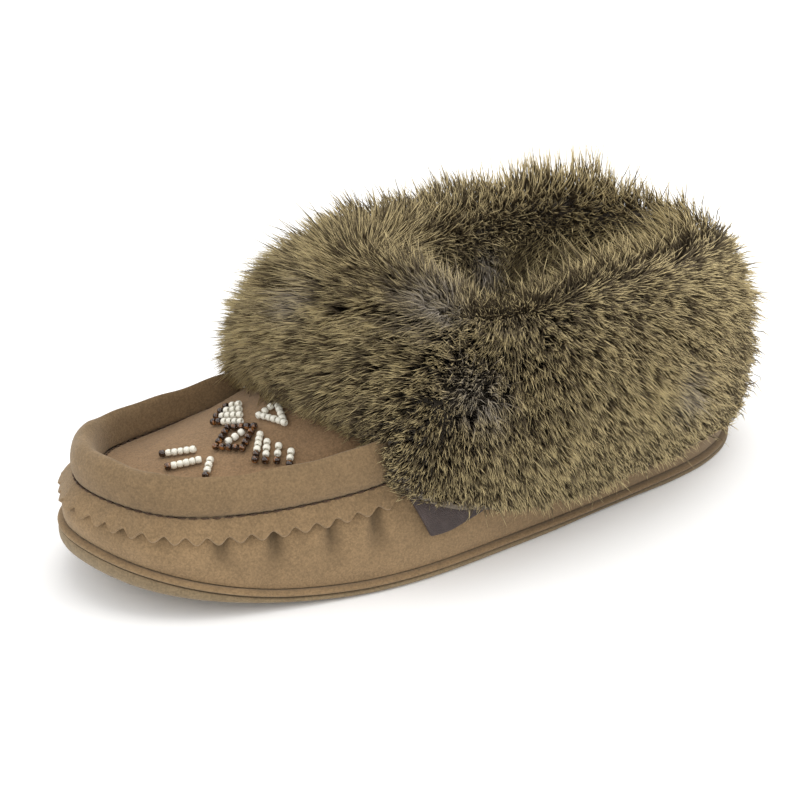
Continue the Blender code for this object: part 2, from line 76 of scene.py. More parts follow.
# Sizes of the shoe, as in the solids
SOLE_LENGTH = 0.258
BALL_WIDTH = 0.096
SEAM_HEIGHT = 0.030
THROAT_HEIGHT = 0.071
COLLAR_HEIGHT = 0.067
COLLAR_LENGTH = 0.143
COLLAR_WIDTH = 0.061
HEEL_LEAN = 0.010
UPPER_WALL = 0.0020
CLEARANCE = 0.0003
TOE_SPRING = 0.012
ARCH_RISE = 0.0012
TOE_SOLE_HEIGHT = 0.0082
HEEL_SOLE_HEIGHT = 0.0040
SOLE_EDGE_ROUND = 0.0018
WELT_WIDTH = 0.0034
WELT_HEIGHT = 0.0018
INSOLE_THICKNESS = 0.0030
INSOLE_MARGIN = 0.0012
WALL_INSET = 0.0022
WALL_BELLY = 0.0026
ROLL_HEIGHT = 0.0118
ROLL_WIDTH = 0.0092
FLAP_DROP = 0.0060
FLAP_THICKNESS = 0.0012
TOOTH_PITCH = 0.0062
TOOTH_DEPTH = 0.0021
TAB_LENGTH = 0.0255
TAB_HEIGHT = 0.0094
TAB_THICKNESS = 0.0014
FUR_DEPTH = 0.0270
FUR_RISE = 0.0225
FUR_LINING_DEPTH = 0.0115
FUR_LINING_DROP = 0.0160
BACKING_GAP = 0.0009
BEAD_DIAMETER = 0.0020
BEAD_PITCH = 0.0021
ROLL_FOOT = ROLL_WIDTH * 0.74
BELLY_SHARE = 0.55

# Sizes that only the looks have
APRON_STEP = 0.7 * MM
WALL_WAVE = 0.35 * MM
FLAP_FLUTTER = 0.30 * MM
TAB_LIFT = 0.5 * MM
TAB_HIDDEN = 0.05
SEAM_STITCH_DROP = 0.55 * MM
APRON_STITCH_GAP = 0.9 * MM
# Depth of a crease at which its painted shade is full
CREASE_DEPTH = 1.5 * MM
HEEL_SHADOW_START = -0.03
HEEL_SHADOW_END = 0.10

# Plan of the sole: share of its length from the heel, share of the ball width
# outward, from the toe along the outer side to the heel and back
PLAN = (
    # station, across
    (1.000, -0.165),
    (0.978, 0.085),
    (0.915, 0.265),
    (0.800, 0.395),
    (0.660, 0.488),
    (0.500, 0.498),
    (0.300, 0.482),
    (0.140, 0.437),
    (0.040, 0.295),
    (0.000, 0.060),
    (0.040, -0.190),
    (0.140, -0.312),
    (0.280, -0.330),
    (0.440, -0.312),
    (0.600, -0.395),
    (0.740, -0.490),
    (0.860, -0.500),
    (0.953, -0.405),
)

# Seam line of the upper: inset as a share of the ball width, height as a share
# of the seam height, and the power by which the skin climbs to the collar
SEAM = (
    # station, inset, height, rise
    (0.00, 0.030, 1.15, 1.00),
    (0.15, 0.040, 1.16, 1.00),
    (0.35, 0.055, 1.22, 1.00),
    (0.52, 0.070, 1.28, 0.92),
    (0.62, 0.080, 1.20, 0.88),
    (0.72, 0.088, 1.06, 1.00),
    (0.82, 0.090, 0.99, 1.25),
    (0.92, 0.085, 1.01, 1.85),
    (1.00, 0.080, 1.10, 2.40),
)

# Fur cuff: its lower edge on the skin on the outer and inner side, its depth,
# and its rise over the collar on both sides, as shares of the fur's own sizes
CUFF = (
    # station, outer edge, inner edge, depth, outer rise, inner rise
    (0.00, 0.40, 0.40, 0.58, 0.72, 0.78),
    (0.12, 0.34, 0.34, 0.68, 0.82, 1.22),
    (0.35, 0.34, 0.34, 0.84, 0.78, 1.26),
    (0.52, 0.42, 0.40, 0.86, 0.52, 1.26),
    (0.60, 0.58, 0.56, 0.86, 0.36, 1.26),
    (0.645, 0.78, 0.80, 0.88, 0.34, 1.26),
    (0.68, 1.04, 1.10, 0.90, 0.42, 1.25),
    (0.72, 1.24, 1.24, 0.94, 0.56, 1.24),
    (0.78, 1.42, 1.36, 0.98, 0.74, 1.20),
    (0.86, 1.57, 1.50, 1.02, 0.92, 1.12),
    (1.00, 1.69, 1.69, 1.04, 1.06, 1.06),
)
CROWN_OUTER = 0.10
CROWN_INNER = 0.42

ROLL_END_OUTER = 0.735
ROLL_END_INNER = 0.765
FLAP_END_OUTER = 0.674
FLAP_END_INNER = 0.740
TAB_STATION = 0.660

# Stations where the roll and its stitches end below the fur, outer and inner side
ROLL_ENDS = (ROLL_END_OUTER - 0.062, ROLL_END_INNER - 0.055)
STITCH_ENDS = (ROLL_END_OUTER - 0.055, ROLL_END_INNER - 0.050)
FLAP_ENDS = (FLAP_END_OUTER, FLAP_END_INNER)

# Gathers of the wall below the flap, placed one by one
GATHERS = (
    # station, outer side, depth in mm, width in mm
    (0.972, True, 0.5, 2.4),
    (0.938, True, 0.9, 2.0),
    (0.880, True, 1.5, 1.7),
    (0.820, True, 1.7, 1.7),
    (0.757, True, 1.5, 1.5),
    (0.702, True, 1.7, 1.6),
    (0.945, False, 0.9, 2.0),
    (0.885, False, 1.5, 1.9),
    (0.815, False, 1.6, 2.0),
    (0.755, False, 1.2, 1.8),
)

# Bead rows of the figure, in bead steps ahead of and beside its middle, with
# the number of white beads and of dark ones at the last end
FIGURE_STATION = 0.789
FIGURE_ACROSS = -0.024
FIGURE_TURN = math.radians(8.0)
BEAD_ROWS = (
    # node, first ahead, first aside, last ahead, last aside, white, dark
    ("tail_bar_1", 6.1, -1.7, 10.2, -3.8, 5, 1),
    ("tail_bar_2", 6.3, 1.3, 10.7, 0.2, 5, 1),
    ("tail_bar_3", 4.9, 2.4, 6.6, 5.1, 3, 1),
    ("outer_feather_1", -3.1, 2.3, -0.7, 6.1, 4, 2),
    ("outer_feather_2", -3.4, 4.3, -1.9, 7.1, 3, 1),
    ("outer_feather_3", -4.5, 6.0, -3.3, 8.1, 2, 1),
    ("outer_feather_4", -5.6, 8.0, -4.6, 9.7, 2, 1),
    ("inner_feather_1", -2.0, -2.8, 0.9, -6.8, 4, 2),
    ("inner_feather_2", -2.6, -4.6, -0.1, -8.2, 4, 1),
    ("inner_feather_3", -3.2, -6.4, -1.2, -9.3, 3, 1),
    ("inner_feather_4", -3.8, -8.2, -2.4, -10.2, 2, 1),
    ("diamond_core", -1.1, -0.2, 1.1, 0.2, 3, 0),
)
BEAD_OUTLINES = (
    # node, corners as (ahead, aside), dark
    ("diamond_frame", ((3.1, 0.0), (0.0, 3.0), (-3.1, 0.0), (0.0, -3.0)), True),
    ("head_frame", ((-4.6, -1.6), (-7.6, -1.9), (-6.8, 2.8)), False),
)


def smooth(rows, column, station):
    """Values of one column at stations, on a smooth curve through the rows."""
    stations = np.array([row[0] for row in rows])
    values = np.array([row[column] for row in rows])
    station = np.clip(station, stations[0], stations[-1])
    slopes = np.empty(len(rows))
    slopes[1:-1] = (values[2:] - values[:-2]) / (stations[2:] - stations[:-2])
    slopes[0] = (values[1] - values[0]) / (stations[1] - stations[0])
    slopes[-1] = (values[-1] - values[-2]) / (stations[-1] - stations[-2])
    index = np.clip(np.searchsorted(stations, station, side="right") - 1, 0, len(rows) - 2)
    span = stations[index + 1] - stations[index]
    t = (station - stations[index]) / span
    return (
        values[index] * (2 * t**3 - 3 * t**2 + 1)
        + slopes[index] * span * (t**3 - 2 * t**2 + t)
        + values[index + 1] * (3 * t**2 - 2 * t**3)
        + slopes[index + 1] * span * (t**3 - t**2)
    )


def curve_point(before, start, end, after, t):
    """Point at the share t from start to end, on a smooth curve through all four."""
    return (
        start
        + 0.5 * t * (end - before)
        + t * t * (before - 2.5 * start + 2 * end - 0.5 * after)
        + t * t * t * (1.5 * (start - end) + 0.5 * (after - before))
    )


def through(points, shares, closed=False):
    """Points at shares (0 to 1) of a smooth curve through the given points."""
    points = np.asarray(points, float)
    count = len(points)
    spans = count if closed else count - 1
    place = np.clip(np.asarray(shares, float), 0, 1) * spans
    index = np.minimum(place.astype(int), spans - 1)
    t = (place - index)[:, None]
    if points.ndim == 3:
        t = t[..., None]

    def pick(shift):
        if closed:
            return points[(index + shift) % count]
        return points[np.clip(index + shift, 0, count - 1)]

    return curve_point(pick(-1), pick(0), pick(1), pick(2), t)


def unit(vectors):
    """The same directions with a length of 1."""
    return vectors / np.maximum(np.linalg.norm(vectors, axis=-1, keepdims=True), 1e-12)


def ease(low, high, value):
    """Soft step from 0 at low to 1 at high."""
    share = np.clip((value - low) / (high - low), 0.0, 1.0)
    return share * share * (3 - 2 * share)


def level(plan, height):
    """Points of the plan, lifted to a height."""
    return np.concatenate([plan, np.broadcast_to(height, plan.shape[:-1])[..., None]], axis=-1)


PLAN_CORNERS = [(BALL_WIDTH * across, SOLE_LENGTH * (0.5 - station)) for station, across in PLAN]
PLAN_DENSE = through(PLAN_CORNERS, np.linspace(0, 1, 40 * len(PLAN) + 1), closed=True)
PLAN_LENGTHS = np.concatenate([[0], np.cumsum(np.linalg.norm(np.diff(PLAN_DENSE, axis=0), axis=1))])

# The seam lies inside the sole's edge, so a turn round the foot is shorter there
SEAM_LENGTH = PLAN_LENGTHS[-1] * 0.93


def plan_point(u):
    """Point of the sole's edge: u goes from 0 at the toe along the outer side to 1."""
    length = (np.asarray(u, float) % 1.0) * PLAN_LENGTHS[-1]
    x = np.interp(length, PLAN_LENGTHS, PLAN_DENSE[:, 0])
    y = np.interp(length, PLAN_LENGTHS, PLAN_DENSE[:, 1])
    return np.stack([x, y], axis=-1)


def outline(u, inset=0.0):
    """Point inside the sole's edge, its outward direction and its station."""
    near = 0.012
    along = unit(plan_point(np.add(u, near)) - plan_point(np.subtract(u, near)))
    outward = np.stack([along[..., 1], -along[..., 0]], axis=-1)
    point = plan_point(u)
    station = 0.5 - point[..., 1] / SOLE_LENGTH
    return point - np.asarray(inset)[..., None] * outward, outward, station


def u_at(station, outer):
    """Place round the outline of a station, on the outer or the inner side."""
    places = np.linspace(0.01, 0.49, 2000) if outer else np.linspace(0.99, 0.51, 2000)
    return float(places[np.argmin(np.abs(outline(places)[2] - station))])


def sole_spring(station):
    """How far the toe curls up from the floor."""
    return TOE_SPRING * np.maximum((station - 0.70) / 0.30, 0.0) ** 1.8


def sole_arch(station):
    return ARCH_RISE * ease(0.22, 0.33, station) * (1 - ease(0.36, 0.47, station))


def sole_top(station):
    """Height of the sole's upper face."""
    height = HEEL_SOLE_HEIGHT + (TOE_SOLE_HEIGHT - HEEL_SOLE_HEIGHT) * ease(0.80, 1.02, station)
    return sole_spring(station) + height


def collar_point(u):
    """Point of the collar's edge that belongs to a place on the outline."""
    plan = outline(u)[0]
    middle_y = SOLE_LENGTH * 0.5 - HEEL_LEAN - COLLAR_LENGTH * 0.5
    lean = np.clip((plan[..., 1] - middle_y) / SOLE_LENGTH, -0.6, 0.6)
    middle_x = BALL_WIDTH * (0.030 + 0.055 * lean)
    across = (plan[..., 0] - middle_x) / (COLLAR_WIDTH * 0.5)
    forward = (middle_y - plan[..., 1]) / (COLLAR_LENGTH * 0.5)
    size = np.hypot(across, forward)
    across, forward = across / size, forward / size
    height = COLLAR_HEIGHT + (THROAT_HEIGHT - COLLAR_HEIGHT) * np.maximum(forward, 0.0) ** 2
    x = middle_x + COLLAR_WIDTH * 0.5 * across
    return np.stack([x, middle_y - COLLAR_LENGTH * 0.5 * forward, height], axis=-1)


def seam_point(u):
    plan, outward, station = outline(u)
    plan = plan - outward * (BALL_WIDTH * smooth(SEAM, 1, station))[..., None]
    return level(plan, SEAM_HEIGHT * smooth(SEAM, 2, station))


def apron_run(u):
    """Distance from the seam in to the collar, seen from above."""
    return np.linalg.norm(collar_point(u)[:, :2] - seam_point(u)[:, :2], axis=-1)


def skin_point(u, v):
    """Outer surface of the upper: v is 0 at the sole, 1 at the seam, 2 at the collar."""
    u, v = np.broadcast_arrays(np.asarray(u, float), np.asarray(v, float))
    plan, outward, station = outline(u)
    seam = seam_point(u)
    foot = level(plan - outward * WALL_INSET, sole_top(station) + CLEARANCE)
    belly_height = foot[..., 2] + BELLY_SHARE * (seam[..., 2] - foot[..., 2])
    belly = level(plan - outward * (WALL_INSET - WALL_BELLY), belly_height)
    low = np.clip(v, 0, 1)[..., None]
    wall = (1 - low) ** 2 * foot + 2 * low * (1 - low) * belly + low * low * seam
    t = np.clip(v - 1.0, 0, 1)
    collar = collar_point(u)
    top = seam + (collar - seam) * t[..., None]
    top[..., 2] = seam[..., 2] + (collar[..., 2] - seam[..., 2]) * t ** smooth(SEAM, 3, station)
    return np.where((v <= 1.0)[..., None], wall, top)


def skin_normal(u, v):
    near = 0.02
    along = skin_point(np.add(u, 0.006), v) - skin_point(np.subtract(u, 0.006), v)
    upward = skin_point(u, np.minimum(np.add(v, near), 2.0))
    upward = upward - skin_point(u, np.maximum(np.subtract(v, near), 0.0))
    return unit(np.cross(along, upward))


def skin(u, v, offset=0.0):
    """Point at a distance out from the upper's surface."""
    return skin_point(u, v) + skin_normal(u, v) * np.asarray(offset)[..., None]


def below_seam(u, distance):
    """Place on the wall at a distance down from the seam, along the skin."""
    steps = 40
    shares = 1.0 - np.arange(steps + 1) / steps
    u = np.asarray(u, float)
    points = skin_point(u[:, None], shares[None, :])
    run = np.linalg.norm(np.diff(points, axis=1), axis=-1)
    length = np.concatenate([np.zeros((len(u), 1)), np.cumsum(run, axis=1)], axis=1)
    distance = np.broadcast_to(distance, u.shape)
    return np.array([np.interp(d, row, shares) for d, row in zip(distance, length)])


def wall_relief(u, v):
    """How far the suede wall stands in or out from its even surface."""
    u, v = np.broadcast_arrays(np.asarray(u, float) % 1.0, np.asarray(v, float))
    relief = np.zeros(u.shape)
    height = ease(0.15, 0.78, v) * (1 - ease(0.90, 1.02, v))
    for station, outer, depth, width in GATHERS:
        place = u_at(station, outer)
        away = (u - place + 0.5) % 1.0 - 0.5
        away = away * PLAN_LENGTHS[-1] / (width * MM * (0.55 + 1.9 * (1 - np.clip(v, 0, 1))))
        ridge = 0.30 * np.exp(-((np.abs(away) - 2.1) ** 2))
        relief += depth * MM * height * (ridge - np.exp(-(away**2)))
    slow = np.sin(2 * math.pi * (u * 11 + 0.6 * np.sin(2 * math.pi * u * 3)))
    relief += WALL_WAVE * slow * ease(0.0, 0.4, v) * (1 - ease(0.85, 1.0, v))
    return relief


def clean_scene():
    """Removes what a new file may hold besides the frame."""
    for item in list(bpy.data.objects):
        if item.type in {"CAMERA", "LIGHT"} or item.name == "Cube":
            bpy.data.objects.remove(item)


def add_piece(name, mesh, material, nodes=(), smooth_angle=45.0):
    """Object for a finished mesh: it rides on the shoe and stands for its solids."""
    mesh.name = name
    mesh.shade_smooth()
    if smooth_angle:
        mesh.set_sharp_from_angle(angle=math.radians(smooth_angle))
    mesh.materials.append(material)
    piece = bpy.data.objects.new(name, mesh)
    bpy.context.scene.collection.objects.link(piece)
    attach(piece, "root")
    if nodes:
        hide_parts(*nodes)
    return piece


def mark_crease_shade(mesh, depth):
    """Attribute for painted shade in creases: 1 at the bottom of a crease. depth gives, for the shares
    of the UV map, how deep a point lies as a share of the deepest crease."""
    shares = np.empty(len(mesh.loops) * 2, np.float32)
    mesh.uv_layers[0].data.foreach_get("uv", shares)
    corners = np.empty(len(mesh.loops), np.int32)
    mesh.loops.foreach_get("vertex_index", corners)
    shares = shares.reshape(-1, 2).astype(float)
    values = np.zeros(len(mesh.vertices), np.float32)
    values[corners] = np.clip(depth(shares[:, 0], shares[:, 1]), 0.0, 1.0)
    mesh.attributes.new("crease", "FLOAT", "POINT").data.foreach_set("value", values)


def bent_grid(around, along, place, closed_around=False, closed_along=False):
    """A flat grid with UVs, bent so that each of its points goes where place says."""
    body = bmesh.new()
    body.loops.layers.uv.new("UVMap")
    bmesh.ops.create_grid(body, x_segments=around, y_segments=along, size=0.5, calc_uvs=True)
    shares = np.array([vert.co for vert in body.verts])[:, :2] + 0.5
    places = place(shares[:, 0], shares[:, 1])
    for vert, point in zip(body.verts, places):
        vert.co = point
    if closed_around or closed_along:
        bmesh.ops.remove_doubles(body, verts=body.verts[:], dist=1e-6)
    return body


def close_holes(body):
    """Fills the open rings of a mesh."""
    edges = [edge for edge in body.edges if edge.is_boundary]
    if edges:
        bmesh.ops.holes_fill(body, edges=edges, sides=0)


def to_mesh(body, name):
    bmesh.ops.recalc_face_normals(body, faces=body.faces[:])
    mesh = bpy.data.meshes.new(name)
    body.to_mesh(mesh)
    body.free()
    return mesh


def section_grid(name, around, along, section, closed):
    """Mesh from a closed section that changes along a path. section gives the
    points for shares along the path and round the section."""
    body = bent_grid(around, along, section, closed_around=closed, closed_along=True)
    if not closed:
        close_holes(body)
    return to_mesh(body, name)


class Nodes:
    """Short hand for placing and joining shader nodes."""

    def __init__(self, tree):
        self.tree = tree
        self.column = 0

    def add(self, kind, settings=None, **inputs):
        node = self.tree.nodes.new(kind)
        self.column += 1
        node.location = (self.column * 190, -(self.column % 4) * 160)
        for key, value in (settings or {}).items():
            setattr(node, key, value)
        return self.feed(node, **inputs)

    def feed(self, node, **inputs):
        """Joins or sets inputs: i3 is the fourth one, Base_Color goes by its name."""
        for key, value in inputs.items():
            socket = node.inputs[int(key[1:]) if key[1:].isdigit() else key.replace("_", " ")]
            if isinstance(value, bpy.types.NodeSocket):
                self.tree.links.new(value, socket)
            else:
                socket.default_value = value
        return node

    def group(self, name, **inputs):
        return self.add("ShaderNodeGroup", {"node_tree": bpy.data.node_groups[name]}, **inputs).outputs

    def place(self):
        """Where a point lies on its piece."""
        return self.add("ShaderNodeTexCoord").outputs["Object"]

    def up_uv(self):
        """How far up the UV map a point lies."""
        place = self.add("ShaderNodeTexCoord").outputs["UV"]
        return self.add("ShaderNodeSeparateXYZ", i0=place).outputs[1]

    def noise(self, place, scale, detail=3.0, roughness=0.55, stretch=None):
        if stretch:
            place = self.add("ShaderNodeMapping", Vector=place, Scale=stretch).outputs[0]
        node = self.add("ShaderNodeTexNoise", Vector=place, Scale=scale, Detail=detail, Roughness=roughness)
        return node.outputs["Fac"]

    def spread(self, value, low, high, to_low=0.0, to_high=1.0):
        """The value moved from the range low to high onto another range."""
        node = self.add("ShaderNodeMapRange", i0=value, i1=low, i2=high, i3=to_low, i4=to_high)
        return node.outputs[0]

    def sum(self, first, second):
        return self.add("ShaderNodeMath", {"operation": "ADD"}, i0=first, i1=second).outputs[0]

    def times(self, first, second):
        return self.add("ShaderNodeMath", {"operation": "MULTIPLY"}, i0=first, i1=second).outputs[0]

    def mix(self, share, first, second, blend="MIX"):
        settings = {"data_type": "RGBA", "blend_type": blend}
        return self.add("ShaderNodeMix", settings, i0=share, i6=first, i7=second).outputs[2]

    def bump(self, height, strength, distance):
        return self.add("ShaderNodeBump", Strength=strength, Distance=distance, Height=height).outputs[0]


def new_material(name):
    """Nodes of a new material, and its shader."""
    finish = bpy.data.materials.new(name)
    finish.use_nodes = True
    return Nodes(finish.node_tree), finish.node_tree.nodes["Principled BSDF"]


def new_group(name, inputs, outputs):
    """Nodes of a new node group, the sockets that come in and the node for what goes out."""
    tree = bpy.data.node_groups.new(name, "ShaderNodeTree")
    for in_out, sockets in (("INPUT", inputs), ("OUTPUT", outputs)):
        for kind, labels in sockets.items():
            for label in labels:
                tree.interface.new_socket(label, in_out=in_out, socket_type="NodeSocket" + kind)
    return Nodes(tree), tree.nodes.new("NodeGroupInput").outputs, tree.nodes.new("NodeGroupOutput")


def material(name):
    return bpy.data.materials[name]


def rgba(colour, factor=1.0):
    """A colour made darker or lighter, with full cover."""
    return (colour[0] * factor, colour[1] * factor, colour[2] * factor, 1.0)


def suede_group():
    """Nap of suede: brushed light and dark patches, fine fibres and specks."""
    shades = {"Vector": ["Place"], "Color": ["Dark", "Middle", "Light"]}
    nodes, given, out = new_group("suede nap", shades, {"Color": ["Colour"], "Float": ["Height"]})
    place = given["Place"]
    patches = nodes.noise(place, 55.0, 4.0, 0.6)
    brushed = nodes.noise(place, 240.0, 4.0, 0.65, (1.0, 0.55, 1.0))
    fibres = nodes.noise(place, 1150.0, 4.0, 0.75)
    specks = nodes.noise(place, 1700.0, 2.0, 0.6)
    tone = nodes.spread(patches, 0.3, 0.7, 0.0, 0.20)
    tone = nodes.sum(tone, nodes.spread(brushed, 0.3, 0.7, 0.0, 0.26))
    tone = nodes.sum(tone, nodes.spread(fibres, 0.36, 0.64, 0.0, 0.54))
    low = nodes.mix(nodes.spread(tone, 0.15, 0.5), given["Dark"], given["Middle"])
    colour = nodes.mix(nodes.spread(tone, 0.5, 0.9), low, given["Light"])
    colour = nodes.mix(nodes.spread(specks, 0.54, 0.68, 0.0, 0.6), colour, given["Light"])
    colour = nodes.mix(nodes.spread(specks, 0.32, 0.46, 0.6, 0.0), colour, given["Dark"])
    height = nodes.sum(nodes.times(fibres, 0.5), nodes.times(specks, 0.35))
    height = nodes.sum(height, nodes.times(brushed, 0.6))
    nodes.feed(out, Colour=colour, Height=height)


def suede_material(name, colour, edge=None, past_seam=None):
    """Suede in one colour, with painted shadow toward the heel. edge is (low, high) of the
    UV's v where it is paler. past_seam is for the wall: its colour from the seam
    on, a quarter up the UV's v, with painted shade in the creases below it."""
    nodes, shader = new_material(name)
    place = nodes.place()
    shades = {"Dark": rgba(colour, 0.74), "Middle": rgba(colour), "Light": rgba(colour, 1.32)}
    nap = nodes.group("suede nap", Place=place, **shades)
    tint = nap["Colour"]
    if edge:
        share = nodes.spread(nodes.up_uv(), edge[0], edge[1])
        tint = nodes.mix(nodes.times(share, 0.45), tint, rgba(colour, 1.5))
    if past_seam:
        # Painted shade: darker at the bottom of the gathers' creases
        crease = nodes.add("ShaderNodeAttribute", {"attribute_name": "crease"}).outputs["Fac"]
        tint = nodes.mix(nodes.times(crease, 0.70), tint, rgba(colour, 0.22))
        ratio = [new / old for new, old in zip(past_seam, colour)]
        shade = nodes.mix(nodes.spread(nodes.up_uv(), 0.25, 0.27), rgba((1, 1, 1)), rgba(ratio))
        tint = nodes.mix(1.0, tint, shade, "MULTIPLY")
    toward_heel = nodes.add("ShaderNodeSeparateXYZ", i0=place).outputs[1]
    shadow = nodes.spread(toward_heel, HEEL_SHADOW_START, HEEL_SHADOW_END, 0.0, 0.62)
    nodes.feed(
        shader, Base_Color=nodes.mix(shadow, tint, rgba(colour, 0.40)),
        Normal=nodes.bump(nap["Height"], 0.55, 0.6 * MM), Roughness=0.95, Specular_IOR_Level=0.15,
        Sheen_Weight=0.18, Sheen_Roughness=0.6, Sheen_Tint=(1.0, 0.93, 0.8, 1.0),
    )


def leather_material(name, colour):
    """Smooth leather with fine pores, soft creases and worn patches."""
    nodes, shader = new_material(name)
    place = nodes.place()
    pores = nodes.add("ShaderNodeTexVoronoi", {"feature": "DISTANCE_TO_EDGE"}, Vector=place, Scale=1500.0)
    creases = nodes.noise(place, 420.0, 4.0, 0.6)
    wear = nodes.noise(place, 90.0, 3.0, 0.6)
    tint = nodes.mix(nodes.spread(wear, 0.35, 0.7), rgba(colour, 0.7), rgba(colour, 1.35))
    tint = nodes.mix(nodes.spread(pores.outputs[0], 0.0, 0.12, 0.5, 0.0), tint, rgba(colour, 0.4))
    height = nodes.sum(nodes.spread(pores.outputs[0], 0.0, 0.2), nodes.times(creases, 1.2))
    rough = nodes.spread(creases, 0.3, 0.7, 0.5, 0.7)
    nodes.feed(shader, Base_Color=tint, Roughness=rough, Normal=nodes.bump(height, 0.5, 0.4 * MM))


def thread_material(name, colour):
    """Twisted thread."""
    nodes, shader = new_material(name)
    twist = nodes.add("ShaderNodeTexWave", Vector=nodes.place(), Scale=900.0, Distortion=2.0).outputs["Fac"]
    tint = nodes.mix(twist, rgba(colour, 0.6), rgba(colour, 1.3))
    nodes.feed(shader, Base_Color=tint, Normal=nodes.bump(twist, 0.6, 0.1 * MM), Roughness=0.75)


def bead_material(name, colour, glint):
    """Glass bead: its body colour, with patches of painted glint in the glint colour."""
    nodes, shader = new_material(name)
    glint_patch = nodes.noise(nodes.place(), 500.0, 3.0, 0.6)
    # Painted glints: patches of the glint colour over the body colour
    tint = nodes.mix(nodes.spread(glint_patch, 0.50, 0.66), rgba(colour), rgba(glint))
    nodes.feed(shader, Base_Color=tint, Roughness=0.16, Coat_Weight=0.5, Coat_Roughness=0.05)


def fur_group():
    """Banded colour of a hair: grey wool at the root, dark band, pale tip."""
    bands = {"Float": ["Along", "Chance", "Wool"], "Color": ["Root", "Band", "Tip", "Grey"]}
    nodes, given, out = new_group("fur bands", bands, {"Color": ["Colour"]})
    along = nodes.sum(given["Along"], nodes.spread(given["Chance"], 0.0, 1.0, -0.12, 0.12))
    colour = nodes.mix(nodes.spread(along, 0.30, 0.55), given["Root"], given["Band"])
    colour = nodes.mix(nodes.spread(along, 0.62, 0.88), colour, given["Tip"])
    colour = nodes.mix(nodes.spread(given["Chance"], 0.12, 0.60, 0.72, 0.0), colour, given["Band"])
    nodes.feed(out, Colour=nodes.mix(given["Wool"], colour, given["Grey"]))


def hair_material(name, bands):
    """Hair that reads its own place along the hair, tone and wool."""
    nodes, shader = new_material(name)
    strand = nodes.add("ShaderNodeAttribute", {"attribute_name": "strand"}).outputs["Color"]
    along, chance, wool = nodes.add("ShaderNodeSeparateColor", i0=strand).outputs[:3]
    colour = nodes.group("fur bands", Along=along, Chance=chance, Wool=wool, **bands)[0]
    nodes.feed(shader, Base_Color=colour, Roughness=0.60, Specular_IOR_Level=0.15)


def pelt_material(name, bands):
    """Matted wool below the hairs."""
    nodes, shader = new_material(name)
    place = nodes.place()
    along = nodes.spread(nodes.noise(place, 700.0, 3.0, 0.7), 0.3, 0.7, 0.1, 0.4)
    chance = nodes.noise(place, 300.0, 2.0, 0.6)
    wool = nodes.spread(nodes.noise(place, 60.0), 0.4, 0.8, 0.0, 0.4)
    colour = nodes.group("fur bands", Along=along, Chance=chance, Wool=wool, **bands)[0]
    matted = nodes.bump(nodes.noise(place, 900.0, 4.0, 0.7), 1.0, 1.0 * MM)
    nodes.feed(shader, Base_Color=colour, Normal=matted, Roughness=0.60, Specular_IOR_Level=0.15)


def colour_setting(name, description, colour):
    return FloatVectorProperty(
        name=name, description=description, subtype="COLOR", default=colour, min=0.0, max=1.0,
    )


def length_setting(name, description, length, low, high):
    return FloatProperty(
        name=name, description=description, unit="LENGTH", default=length, min=low, max=high,
    )


class SlipperColours(bpy.types.PropertyGroup):
    suede: colour_setting("Suede", "Colour of the wall, roll and flap", (0.245, 0.162, 0.084))
    apron: colour_setting("Apron", "Colour of the sunken apron", (0.245, 0.152, 0.080))
    sole: colour_setting("Sole", "Colour of the suede round the sole", (0.205, 0.150, 0.086))
    tab: colour_setting("Tab", "Colour of the leather tab", (0.062, 0.042, 0.038))
    thread: colour_setting("Thread", "Colour of the seam's thread", (0.060, 0.030, 0.014))
    white_bead: colour_setting("White bead", "Colour of the pale beads", (0.86, 0.83, 0.72))
    dark_bead: colour_setting("Dark bead", "Colour of the dark beads", (0.030, 0.012, 0.005))
    # Glint: colour of the painted glints on the dark beads
    glint: colour_setting("Glint", "Clouds in the dark beads", (0.30, 0.12, 0.03))
    fur_tip: colour_setting("Fur tip", "Colour of the hair tips", (0.62, 0.50, 0.26))
    fur_band: colour_setting("Fur band", "Dark band of the hairs", (0.100, 0.076, 0.044))
    fur_root: colour_setting("Fur root", "Colour of the hairs at the skin", (0.170, 0.140, 0.105))
    fur_wool: colour_setting("Fur wool", "Colour where the grey wool shows", (0.400, 0.360, 0.310))


class SlipperFur(bpy.types.PropertyGroup):
    hair_width: length_setting("Hair width", "Greatest width of a hair", 0.00040, 0.0001, 0.002)
    hairs: IntProperty(
        name="Hairs", description="Number of hairs in each piece of fur",
        default=27000, min=100, max=32000,
    )
    locks: IntProperty(
        name="Locks", description="Number of locks that the hairs gather into",
        default=5200, min=50, max=9000,
    )
    pelt_depth: length_setting(
        "Pelt depth", "How far the pelt lies below the outline of the fur", 0.0125, 0.002, 0.02,
    )


class SlipperDetail(bpy.types.PropertyGroup):
    stitch_length: length_setting("Stitch length", "Length of one stitch", 0.0026, 0.001, 0.01)
    stitch_gap: length_setting("Stitch gap", "Gap between two stitches", 0.0009, 0.0002, 0.005)
    thread_width: length_setting("Thread width", "Width of the thread", 0.00060, 0.0002, 0.002)


